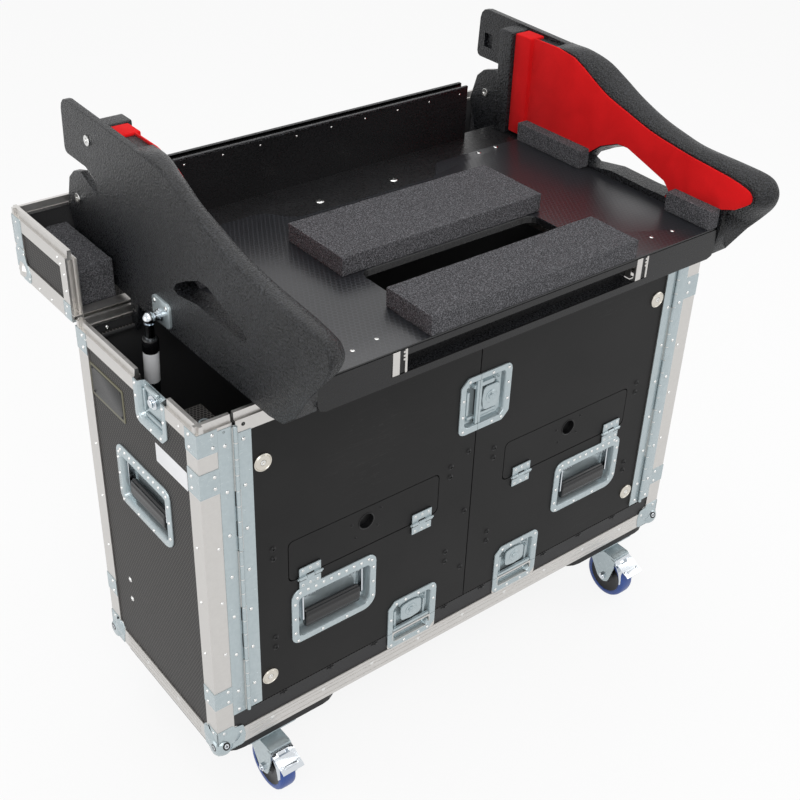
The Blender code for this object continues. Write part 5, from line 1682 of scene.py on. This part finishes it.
@dataclass
class Lid:
    """Lid, lying open behind the base."""

    shop: Workshop
    half_width: float = 0.536
    floor: float = 0.659
    rear: float = 0.393

    def build(self) -> None:
        """Dress the lid and add its fittings."""
        self.shop.dress(Look.LAMINATE, "lid_shell")
        self.shop.dress(Look.ALUMINIUM, "lid_frame")
        for side in Side:
            self.end(side)
            self.foam(side)
        self.hinge()

    def end(self, side: Side) -> None:
        """Fit the end wall: corner plates, rivets and the ball corner."""
        sign = side.value
        wall = basis((0, sign, 0), (0, 0, 1), (sign, 0, 0), (sign * self.half_width, 0, 0))
        thick = 0.0009
        plates = Form()
        for y0, y1, z0, z1 in ((0.1965, 0.222, 0.6595, 0.690), (0.360, 0.3928, 0.720, 0.7725)):
            plates.slab(rounded(*side.span(y0, y1), z0, z1, 0.003, 3), -0.0002, thick, 0.0003, wall)
        spots = ((0.209, 0.683), (0.216, 0.667), (0.224, 0.764), (0.206, 0.741), (0.205, 0.712),
                 (0.377, 0.763), (0.377, 0.734), (0.270, 0.6665), (0.315, 0.6665), (0.216, 0.756))
        rivets = [(sign * y, z) for y, z in spots]
        self.shop.make(f"lid_end_plates_{side.word}", plates, Look.ZINC, "lid")
        self.shop.stud(f"lid_end_rivets_{side.word}", rivet(*DISH_RIVET), wall, rivets, 0.0, "lid")
        self.cup(side)

    def cup(self, side: Side) -> None:
        """Fit the plate round the lower rear ball."""
        spot = (side.value * self.half_width, self.rear, self.floor)
        place = basis((-side.value, 0, 0), (0, -1, 0), (0, 0, 1), spot)
        centre = 0.018
        plate = fillet([(centre, 0.0), (0.044, 0.0), (0.048, 0.018), (0.036, 0.036), (0.030, 0.058),
                        (0.008, 0.062), (-0.0008, 0.050), (-0.0008, centre), (centre, centre)],
                       [0.0005, 0.007, 0.010, 0.010, 0.008, 0.008, 0.002, 0.0005, 0.0005])
        rings = [[(-h, u, v) for u, v in inset(plate, d)]
                 for d, h in ((0.0, -0.0002), (0.0, 0.0007), (0.0004, 0.0011))]
        form = Form().loft(rings, place)
        self.shop.make(f"lid_corner_cup_{side.word}", form, Look.ZINC, "lid")
        heads_at = Form()
        for v, w in ((0.043, 0.010), (0.030, 0.050), (0.012, 0.054)):
            matrix = place @ shift(-0.0011, 0.0) @ crosswise(-1, v, w)
            heads_at.stamp(rivet(0.0026, 0.0012), matrix)
        self.shop.make(f"lid_corner_rivets_{side.word}", heads_at, Look.WHITE_STEEL, "lid")

    def foam(self, side: Side) -> None:
        """Replace a foam block, with its outer edge cut at a slant."""
        xs = side.span(0.4495, 0.5230)
        mesh = foam_block((xs[0], 0.2145, 0.6718), (xs[1], 0.3802, 0.7395), 3, slope=0.022)
        piece = self.shop.make(f"lid_pad_{side.word}", mesh, Look.FOAM, "lid",
                               (f"lid_foam_{side.word}",), 25.0)

    def hinge(self) -> None:
        """Lay the long rear hinge: barrels and the screws of its leaves."""
        axis = facing_side(1, 0.0, 0.1895, 0.6555)
        parts = {0: Form(), 1: Form()}
        count, length = 25, 0.94
        for i in range(count):
            low = -length / 2 + i * length / count + GAP
            high = low + length / count - 2 * GAP
            parts[i % 2].turn(knuckle(0.0034, low, high), axis, 12)
        self.shop.make("rear_hinge_barrel_base", parts[0], Look.ZINC, "base")
        self.shop.make("rear_hinge_barrel_lid", parts[1], Look.ZINC, "lid")
        over = level_at(0.0, 0.0, 0.6610)
        spots = [(x, 0.2085)
                 for x in (-0.47, -0.43, -0.31, -0.19, -0.07, 0.07, 0.19, 0.31, 0.43, 0.47)]
        self.shop.stud("rear_hinge_screws", cross_screw(0.0030, 0.0012), over, spots, 0.0103, "lid")


@dataclass
class Tray:
    """Console tray: moulded sides, felt linings, floor sheet, foam pads and rear channel."""

    shop: Workshop
    outer: float = 0.446
    inner: float = 0.410
    thin: float = 0.012
    rails: tuple[float, float] = (-0.268, 0.228)
    crest: tuple[tuple[float, float, float, float, float], ...] = (
        (0.115, 0.9595, 0.115, 0.9570, 0.0005), (0.069, 0.9580, 0.069, 0.9540, 0.0070),
        (0.020, 0.9500, 0.020, 0.9300, 0.0110), (-0.020, 0.934, -0.020, 0.911, 0.0110),
        (-0.070, 0.910, -0.070, 0.897, 0.0105), (-0.125, 0.890, -0.125, 0.882, 0.0100),
        (-0.176, 0.878, -0.176, 0.874, 0.0095), (-0.225, 0.870, -0.225, 0.868, 0.0095),
        (-0.300, 0.870, -0.300, 0.862, 0.0095), (-0.351, 0.869, -0.345, 0.855, 0.0095),
        (-0.372, 0.860, -0.358, 0.849, 0.0090), (-0.379, 0.840, -0.362, 0.838, 0.0080),
        (-0.368, 0.812, -0.352, 0.826, 0.0060), (-0.334, 0.769, -0.308, 0.800, 0.0005))

    def build(self) -> None:
        """Dress the tray and add its fittings."""
        self.shop.dress(Look.SHEET, "tray_pan")
        self.shop.dress(Look.ALUMINIUM, "tray_rail_left", "tray_rail_right")
        for side in Side:
            self.panel(side)
            self.felt(side)
            self.panel_screws(side)
            self.clip(side)
        self.liner()
        self.channel()
        self.floor_screws()
        self.pads()

    def lines(self) -> tuple[list[Vector], list[Vector]]:
        """Return the padded bar's edge on the outer face and on the inner face as (y, z, rise)."""
        outer = smooth_path([(y, z, rise) for y, z, _, _, rise in self.crest])
        inner = smooth_path([(y, z, rise) for _, _, y, z, rise in self.crest])
        return outer, inner

    def below(self) -> Outline:
        """Return the rest of the moulded side's outline, from its front round to its rear top."""
        return [(-0.298, 0.716), (-0.269, 0.691), (-0.234, 0.685), (0.130, 0.685), (0.330, 0.692),
                (0.345, 0.707), (0.369, 0.778), (0.352, 0.830), (0.334, 0.846), (0.304, 0.855),
                (0.262, 0.838), (0.246, 0.833), (0.255, 0.858), (0.284, 0.870), (0.348, 0.8705),
                (0.3545, 0.8735), (0.3570, 0.880), (0.3535, 0.946), (0.3500, 0.956),
                (0.3430, 0.963), (0.332, 0.9655)]

    def window(self, rise: float = 0.0) -> Outline:
        """Return the hand slot under the bar as (y, z), its upper edge raised by rise."""
        spots = [(0.020, 0.772), (0.012, 0.784), (-0.020, 0.803), (-0.058, 0.820), (-0.080, 0.821),
                 (-0.125, 0.807), (-0.172, 0.794), (-0.184, 0.786), (-0.178, 0.776),
                 (-0.130, 0.775), (-0.050, 0.777), (0.008, 0.767)]
        return [(y, z + rise * min(1.0, max(0.0, (z - 0.778) / 0.02))) for y, z in spots]

    def slot_cutter(self, side: Side, grow: float = 0.0) -> Form:
        """Return the hand slot as a form that widens towards the inner face."""
        levels = ((0.38, 0.010), (self.inner, 0.010), (self.outer, 0.0), (0.48, 0.0))
        rings = [[(u, v, h) for u, v in inset(self.window(rise), -grow)] for h, rise in levels]
        return Form().loft(rings, self.upright(side))

    def upright(self, side: Side, x: float = 0.0) -> Matrix:
        """Frame of a side panel: u is y, v is z, h runs outwards from x."""
        return facing_side(side.value, side.value * x)

    def inward(self, side: Side, x: float) -> Matrix:
        """Frame of a panel's inner face: u is minus y, v is z, h runs inwards from x."""
        return basis((0, -1, 0), (0, 0, 1), (-side.value, 0, 0), (side.value * x, 0, 0))

    def panel(self, side: Side) -> None:
        """Mould the side panel: a plate between two faces with a low padded bar along its top."""
        place = self.upright(side)
        outer, inner = self.lines()
        faces = [[(p.x, p.y) for p in line] + self.below() for line in (inner, outer)]
        rings = [[(u, v, self.inner) for u, v in faces[0]],
                 [(u, v, self.outer - 0.0012) for u, v in faces[1]],
                 [(u, v, self.outer) for u, v in inset(faces[1], 0.0010)]]
        thin = self.outer - self.thin
        cutters = [self.slot_cutter(side),
                   Form().box((0.118, 0.40), (0.60, 1.0), (0.38, thin), 0.0, place),
                   Form().box((0.316, 0.338), (0.893, 0.920), (thin - 0.01, thin + 0.007), 0.0,
                              place)]
        form = Form().absorb(carve(Form().loft(rings, place).mesh("panel"), cutters))
        form.slab([(0.118, 0.768), (0.216, 0.768), (0.216, 0.953), (0.118, 0.953)], self.inner,
                  thin + 0.002, 0.0, place)
        form.loft(self.bar(outer, inner), place)
        arm = fillet([(0.1405, 0.700), (0.1535, 0.6330), (0.1690, 0.6330), (0.1693, 0.700)],
                     [0.001, 0.006, 0.006, 0.001], 3)
        form.slab(arm, 0.4405, self.outer + 0.0004, 0.0006, place)
        self.shop.make(f"moulded_side_{side.word}", form, Look.MOULDED, "tray",
                       (f"tray_panel_{side.word}",), 42.0)

    def bar(self, outer: Sequence[Vector], inner: Sequence[Vector]) -> list[list[Spot]]:
        """Return the sections of the padded bar between its two edges."""
        rings = []
        for i, (edge, foot) in enumerate(zip(outer, inner)):
            ahead = (outer[min(i + 1, len(outer) - 1)] - outer[max(i - 1, 0)]).to_2d().normalized()
            up = Vector((ahead.y, -ahead.x))
            ring = []
            for k in range(13):
                share = k / 12
                spot = edge.to_2d().lerp(foot.to_2d(),
                                         share) + up * edge.z * sin(pi * share) ** 0.62
                swell = 0.30 * edge.z * sin(pi * min(1.0, share / 0.45))
                ring.append((spot.x, spot.y,
                             self.outer + swell + (self.inner - self.outer) * share))
            for end, h in ((foot, self.inner + 0.003), (edge, self.outer - 0.003)):
                low = end.to_2d() - up * 0.006
                ring.append((low.x, low.y, h))
            rings.append(ring)
        return rings

    def felt(self, side: Side) -> None:
        """Line the inside of a panel with red felt."""
        edge = [(0.176, 0.957), (0.110, 0.957)]
        edge += [(p.x + 0.006 * min(1.0, max(0.0, -10.6 - p.x / 0.03)), p.y - 0.0035)
                 for p in self.lines()[1][6:-1:3]]
        edge += [(-0.300, 0.799), (-0.200, 0.799), (-0.200, 0.776), (0.030, 0.776), (0.030, 0.768),
                 (0.176, 0.768)]
        inward = self.inward(side, self.inner)
        lining = Form().slab([(-y, z) for y, z in reversed(edge)], -0.0005, 0.0026, 0.0008, inward)
        skin = carve(lining.mesh("felt"), [self.slot_cutter(side, 0.002)])
        self.shop.make(f"felt_lining_{side.word}", skin, Look.FELT, "tray")
        tab = Form().slab(rounded(-0.216, -0.174, 0.768, 0.957, 0.003, 3), -0.022, 0.0105, 0.0022,
                          inward)
        self.shop.make(f"felt_tab_{side.word}", tab, Look.FELT, "tray")
        block = Form().slab(rounded(-0.250, -0.2165, 0.762, 0.959, 0.003, 3), -0.026, 0.0180,
                            0.0015, inward)
        self.shop.make(f"inner_pillar_{side.word}", block, Look.MOULDED, "tray")

    def panel_screws(self, side: Side) -> None:
        """Set the two large screws of a panel, on both faces."""
        form = Form()
        head = cross_screw(0.0088, 0.0014, sunk=True)
        for y, z in ((0.266, 0.921), (0.325, 0.802)):
            form.stamp(head, self.upright(side, self.outer) @ shift(y, z, 0.0012))
            inner = self.inward(side, self.outer - self.thin)
            form.stamp(head, inner @ shift(-y, z, 0.0006))
        self.shop.make(f"panel_screws_{side.word}", form, Look.WHITE_STEEL, "tray")

    def clip(self, side: Side) -> None:
        """Show the slotted end of the rail under the tray's front edge, its slot filled with
        painted shade.
        """
        middle = self.rails[0] if side is Side.LEFT else self.rails[1]
        place = facing_front(middle, -0.3001)
        form = Form()
        form.box((-0.0132, -0.0005), (0.7235, 0.7620), (-0.004, 0.0006), 0.0004, place)
        form.box((0.0090, 0.0132), (0.7235, 0.7620), (-0.004, 0.0006), 0.0004, place)
        for v in (0.7460, 0.7520, 0.7580):
            form.turn([(0.0019, -0.004), (0.0019, 0.0003), (0.0014, 0.0006)],
                      place @ shift(0.0078, v), 12)
        self.shop.make(f"rail_end_{side.word}", form, Look.ALUMINIUM, "tray")
        # A dark block set back in the slot: painted shade inside the rail's open end.
        dark = Form().box((-0.0006, 0.0092), (0.7240, 0.7615), (-0.0045, -0.0012), 0.0, place)
        self.shop.make(f"rail_end_slot_{side.word}", dark, Look.BLACK_STEEL_AND_SHADE, "tray")

    def liner(self) -> None:
        """Lay the raised honeycomb sheet on the tray's floor."""
        outline = fillet([(-0.409, -0.2985), (0.409, -0.2985), (0.409, 0.178), (0.185, 0.178),
                          (0.150, 0.130), (-0.150, 0.130), (-0.190, 0.178), (-0.409, 0.178)],
                         [0.006, 0.006, 0.012, 0.035, 0.035, 0.035, 0.035, 0.012], 6)
        sheet = Form().slab(outline, 0.7621, 0.7650, 0.0010, LEVEL)
        opening = Form().slab(rounded(-0.182, 0.186, -0.185, -0.083, 0.020), 0.70, 0.80, 0.0, LEVEL)
        self.shop.make("tray_liner_sheet", carve(sheet.mesh("liner"), [opening]), Look.LINER,
                       "tray")

    def channel(self) -> None:
        """Finish the rear wall: folded top, slot and the row of small rivets."""
        wall = facing_front(0.0, 0.243)
        form = Form()
        form.box((-0.3125, 0.3125), (0.8605, 0.8652), (-0.0040, 0.0016), 0.0006, wall)
        form.box((-0.3125, 0.3125), (0.8605, 0.8652), (-0.0250, -0.0185), 0.0006, wall)
        form.box((self.rails[0] + 0.0142, self.rails[1] - 0.0142), (-0.2965, -0.2748),
                 (0.7212, 0.7224), 0.0, LEVEL)
        self.shop.make("rear_channel_lips", form, Look.MOULDED, "tray")
        spots = [(x * 0.0735, 0.8520) for x in range(-4, 5)]
        self.shop.stud("rear_channel_rivets", rivet(0.0021, 0.0010), wall, spots, 0.0, "tray")

    def floor_screws(self) -> None:
        """Set the screws and rivets of the floor."""
        over = level_at(0.0, 0.0, 0.765)
        small = [(-0.278, -0.258), (-0.325, -0.264), (0.290, -0.260), (0.337, -0.264)]
        form = heads(cross_screw(0.0036, 0.0010), over, small, 0.0)
        form.stamp(heads(cross_screw(0.0044, 0.0010), over,
                         [(0.284, 0.168), (0.329, 0.171), (-0.329, 0.171)], 0.0))
        under = level_at(0.0, 0.0, 0.762)
        form.stamp(heads(cross_screw(0.0078, 0.0016), under, [(-0.080, 0.165), (0.080, 0.165)],
                         0.0))
        self.shop.make("tray_floor_screws", form, Look.WHITE_STEEL, "tray")

    def pads(self) -> None:
        """Replace the foam pads."""
        bed = 0.7653
        blocks = {"foam_front": ((-0.2118, -0.2988, bed), (0.2118, -0.1922, 0.798)),
                  "foam_rear": ((-0.2118, -0.0828, bed), (0.2038, 0.0648, 0.798))}
        for side in Side:
            xs = side.span(0.3852, 0.4093)
            blocks[f"side_foam_front_{side.word}"] = ((xs[0], -0.2988, bed),
                                                      (xs[1], -0.2002, 0.7998))
            blocks[f"side_foam_rear_{side.word}"] = ((xs[0], 0.0072, bed), (xs[1], 0.1748, 0.7998))
        for index, (node, (low, high)) in enumerate(blocks.items()):
            piece = self.shop.make(f"{node}_pad", foam_block(low, high, index), Look.FOAM, "tray",
                                   (node,), 25.0)


@dataclass
class GasSprings:
    """Gas springs with their ball studs."""

    shop: Workshop
    centre_x: float = 0.470
    lean: float = 3.484
    length: float = 0.543

    def build(self) -> None:
        """Dress both springs."""
        for side in Side:
            self.spring(side)

    def spring(self, side: Side) -> None:
        """Dress one spring."""
        word = side.word
        axis = level_at(side.value * self.centre_x, 0.094, 0.168)
        axis = axis @ Matrix.Rotation(radians(self.lean), 4, "X")
        body = Form()
        body.turn([(0.0112, 0.188), (0.0123, 0.191), (0.0123, 0.4835), (0.0136, 0.4855),
                   (0.0136, 0.5045), (0.0125, 0.5070), (0.0090, 0.5080)], axis, 32)
        self.shop.make(f"spring_barrel_{word}", body, Look.SPRING, f"spring_body_{word}",
                       (f"gas_spring_body_{word}",))
        neck = Form()
        neck.turn([(0.0080, 0.505), (0.0080, 0.532), (0.0086, 0.5350)], axis, 24)
        ball = [(0.0102 * sin(pi * k / 11), self.length - 0.0102 * cos(pi * k / 11))
                for k in range(1, 11)]
        neck.turn(ball, axis, 24)
        self.shop.make(f"spring_socket_{word}", neck, Look.CHROME, f"spring_body_{word}")
        label = Form().turn([(0.0124, 0.428), (0.0126, 0.4285), (0.0126, 0.4825), (0.0124, 0.483)],
                            axis, 32)
        self.shop.make(f"spring_label_{word}", label, Look.PAPER, f"spring_body_{word}")
        self.shop.dress(Look.CHROME, f"gas_spring_rod_{word}")
        stud = facing_side(side.value, side.value * 0.4405, 0.061, 0.710)
        plate = Form().slab(rounded(-0.028, 0.026, -0.017, 0.027, 0.010, 6), 0.0, 0.0095, 0.0010,
                            stud)
        self.shop.make(f"stud_plate_{word}", plate, Look.ZINC, "tray")
        post = Form().turn([(0.0105, 0.0090), (0.0105, 0.0118), (0.0085, 0.0124), (0.0085, 0.0150),
                            (0.0068, 0.0158), (0.0068, 0.0212), (0.0045, 0.0219)], stud, 24)
        self.shop.make(f"stud_post_{word}", post, Look.CHROME, "tray")
        spots = [(-0.018, 0.018), (0.017, -0.008), (0.017, 0.018)]
        self.shop.stud(f"stud_screws_{word}", cross_screw(0.0042, 0.0014), stud, spots, 0.0095,
                       "tray")


@dataclass
class Casters:
    """Swivel casters with blue wheels; the front pair has brake pedals."""

    shop: Workshop
    centre_x: float = 0.426
    centre_y: float = 0.142
    trail: float = 0.040
    axle_z: float = -0.0943
    radius: float = 0.050

    def build(self) -> None:
        """Dress the four casters."""
        for side in Side:
            for heading, word in ((-1, "front"), (1, "rear")):
                tag = f"{word}_{side.word}"
                self.shop.dress(Look.ZINC, f"caster_plate_{tag}")
                place = basis((1, 0, 0), (0, heading, 0), (0, 0, 1),
                              (side.value * self.centre_x, heading * self.centre_y, 0.0))
                self.fork(tag, place)
                self.wheel(tag, place)
                self.plate_bolts(tag, place)
                if heading < 0:
                    self.pedal(side, place)

    def fork(self, tag: str, place: Matrix) -> None:
        """Press the fork: raceway, crown, curved front and two cheeks."""
        form = Form()
        form.turn([(0.0260, -0.0262), (0.0300, -0.0285), (0.0310, -0.0330), (0.0290, -0.0380)],
                  place, 32)
        cheek = fillet([(-0.0215, -0.0345), (-0.0215, -0.0480), (0.0050, -0.0700),
                        (0.0260, -0.1020), (0.0400, -0.1085), (0.0530, -0.1020), (0.0640, -0.0600),
                        (0.0640, -0.0345)],
                       [0.004, 0.010, 0.020, 0.012, 0.012, 0.014, 0.020, 0.006], 4)[::-1]
        for sign in (-1, 1):
            across = place @ crosswise(sign)
            form.layers(cheek, ((0.0, 0.0183), (0.0, 0.0205), (0.0008, 0.0215)), across)
        form.slab(fillet([(-0.0212, -0.0215), (0.0212, -0.0215), (0.0212, 0.0640),
                          (-0.0212, 0.0640)], [0.008, 0.008, 0.004, 0.004], 4), -0.0380, -0.0342,
                  0.0012, place)
        self.shop.make(f"fork_{tag}", form, Look.ZINC, f"caster_{tag}", (f"caster_fork_{tag}",))
        axle = Form()
        for sign in (-1, 1):
            spot = place @ crosswise(sign, self.trail, self.axle_z)
            axle.turn([(0.0078, 0.0215), (0.0078, 0.0255), (0.0068, 0.0265)], spot, 6)
            axle.turn([(0.0042, 0.0260), (0.0042, 0.0285), (0.0034, 0.0290)], spot, 14)
        self.shop.make(f"axle_{tag}", axle, Look.CHROME, f"caster_{tag}")

    def wheel(self, tag: str, place: Matrix) -> None:
        """Turn the tread and the hub."""
        across = place @ crosswise(1, self.trail, self.axle_z)
        half, r = 0.016, self.radius
        tread = [(0.0385, -half + 0.0012), (0.0400, -half), (r - 0.0050, -half),
                 (r - 0.0018, -half + 0.0020), (r - 0.0003, -half + 0.0060), (r, 0.0),
                 (r - 0.0003, half - 0.0060), (r - 0.0018, half - 0.0020), (r - 0.0050, half),
                 (0.0400, half), (0.0385, half - 0.0012)]
        self.shop.make(f"tread_{tag}", Form().turn(tread, across, 48, closed=True), Look.TREAD,
                       f"wheel_{tag}", (f"caster_wheel_{tag}",))
        hub = [(0.0064, -half), (0.0150, -half), (0.0190, -half + 0.0035), (0.0340, -half + 0.0035),
               (0.0384, -half + 0.0010), (0.0386, half - 0.0010), (0.0340, half - 0.0035),
               (0.0190, half - 0.0035), (0.0150, half), (0.0064, half)]
        form = Form().turn(hub, across, 40, closed=True)
        self.shop.make(f"hub_{tag}", form, Look.HUB, f"wheel_{tag}")

    def plate_bolts(self, tag: str, place: Matrix) -> None:
        """Hang four bolts under the top plate."""
        form = Form()
        for u in (-0.040, 0.040):
            for v in (-0.0300, 0.0300):
                spot = place @ shift(u, v, -0.0196) @ Matrix.Rotation(pi, 4, "X")
                form.turn([(0.0062, 0.0), (0.0062, 0.0042), (0.0054, 0.0050)], spot, 6)
        self.shop.make(f"plate_bolts_{tag}", form, Look.CHROME, "base")

    def pedal(self, side: Side, place: Matrix) -> None:
        """Bend the brake pedal with its slot and ears."""
        path = [(0.0555, -0.0400), (0.0650, -0.0405), (0.0760, -0.0450), (0.0900, -0.0525),
                (0.1010, -0.0560), (0.1050, -0.0590)]
        form = Form()
        across = place @ crosswise()
        upper = [(u, v + 0.0016) for u, v in path]
        form.slab(path + upper[::-1], -0.0215, 0.0215, 0.0, across)
        body = f"pedal_{side.word}"
        slot = Form().box((-0.0110, 0.0110), (0.0690, 0.0765), (-0.06, -0.03), 0.0, place)
        plate = carve(form.mesh("pedal"), [slot])
        self.shop.make(f"pedal_plate_{side.word}", plate, Look.CHROME, body,
                       (f"brake_pedal_{side.word}",))
        ribs = Form()
        lean = place @ shift(0.0, 0.0960, -0.0530) @ Matrix.Rotation(radians(-24), 4, "X")
        ribs.slab(rounded(-0.0130, 0.0130, -0.0030, 0.0030, 0.0018, 3), 0.0, 0.0022, 0.0008, lean)
        for sign in (-1, 1):
            ribs.turn([(0.0032, 0.0), (0.0032, 0.0018), (0.0022, 0.0026)],
                      lean @ shift(sign * 0.0170, -0.0020), 14)
        self.shop.make(f"pedal_ribs_{side.word}", ribs, Look.CHROME, body)
        cover = Form()
        arc = [(0.0600, -0.0440), (0.0720, -0.0530), (0.0800, -0.0650), (0.0840, -0.0800),
               (0.0850, -0.0900)]
        thick = [(u - 0.0015, v - 0.0006) for u, v in arc]
        cover.slab(arc + thick[::-1], -0.0200, 0.0200, 0.0, across)
        self.shop.make(f"fork_cover_{side.word}", cover, Look.CHROME, f"caster_front_{side.word}")


def main() -> None:
    """Build the scene."""
    logging.basicConfig(level=logging.INFO, format="%(message)s")
    Studio().build()
    shop = Workshop()
    for group in (BaseBox, FrontDoors, Latches, Handles, Lid, Tray, GasSprings, Casters):
        group(shop).build()
    bpy.context.view_layer.update()


if __name__ == "__main__":
    main()
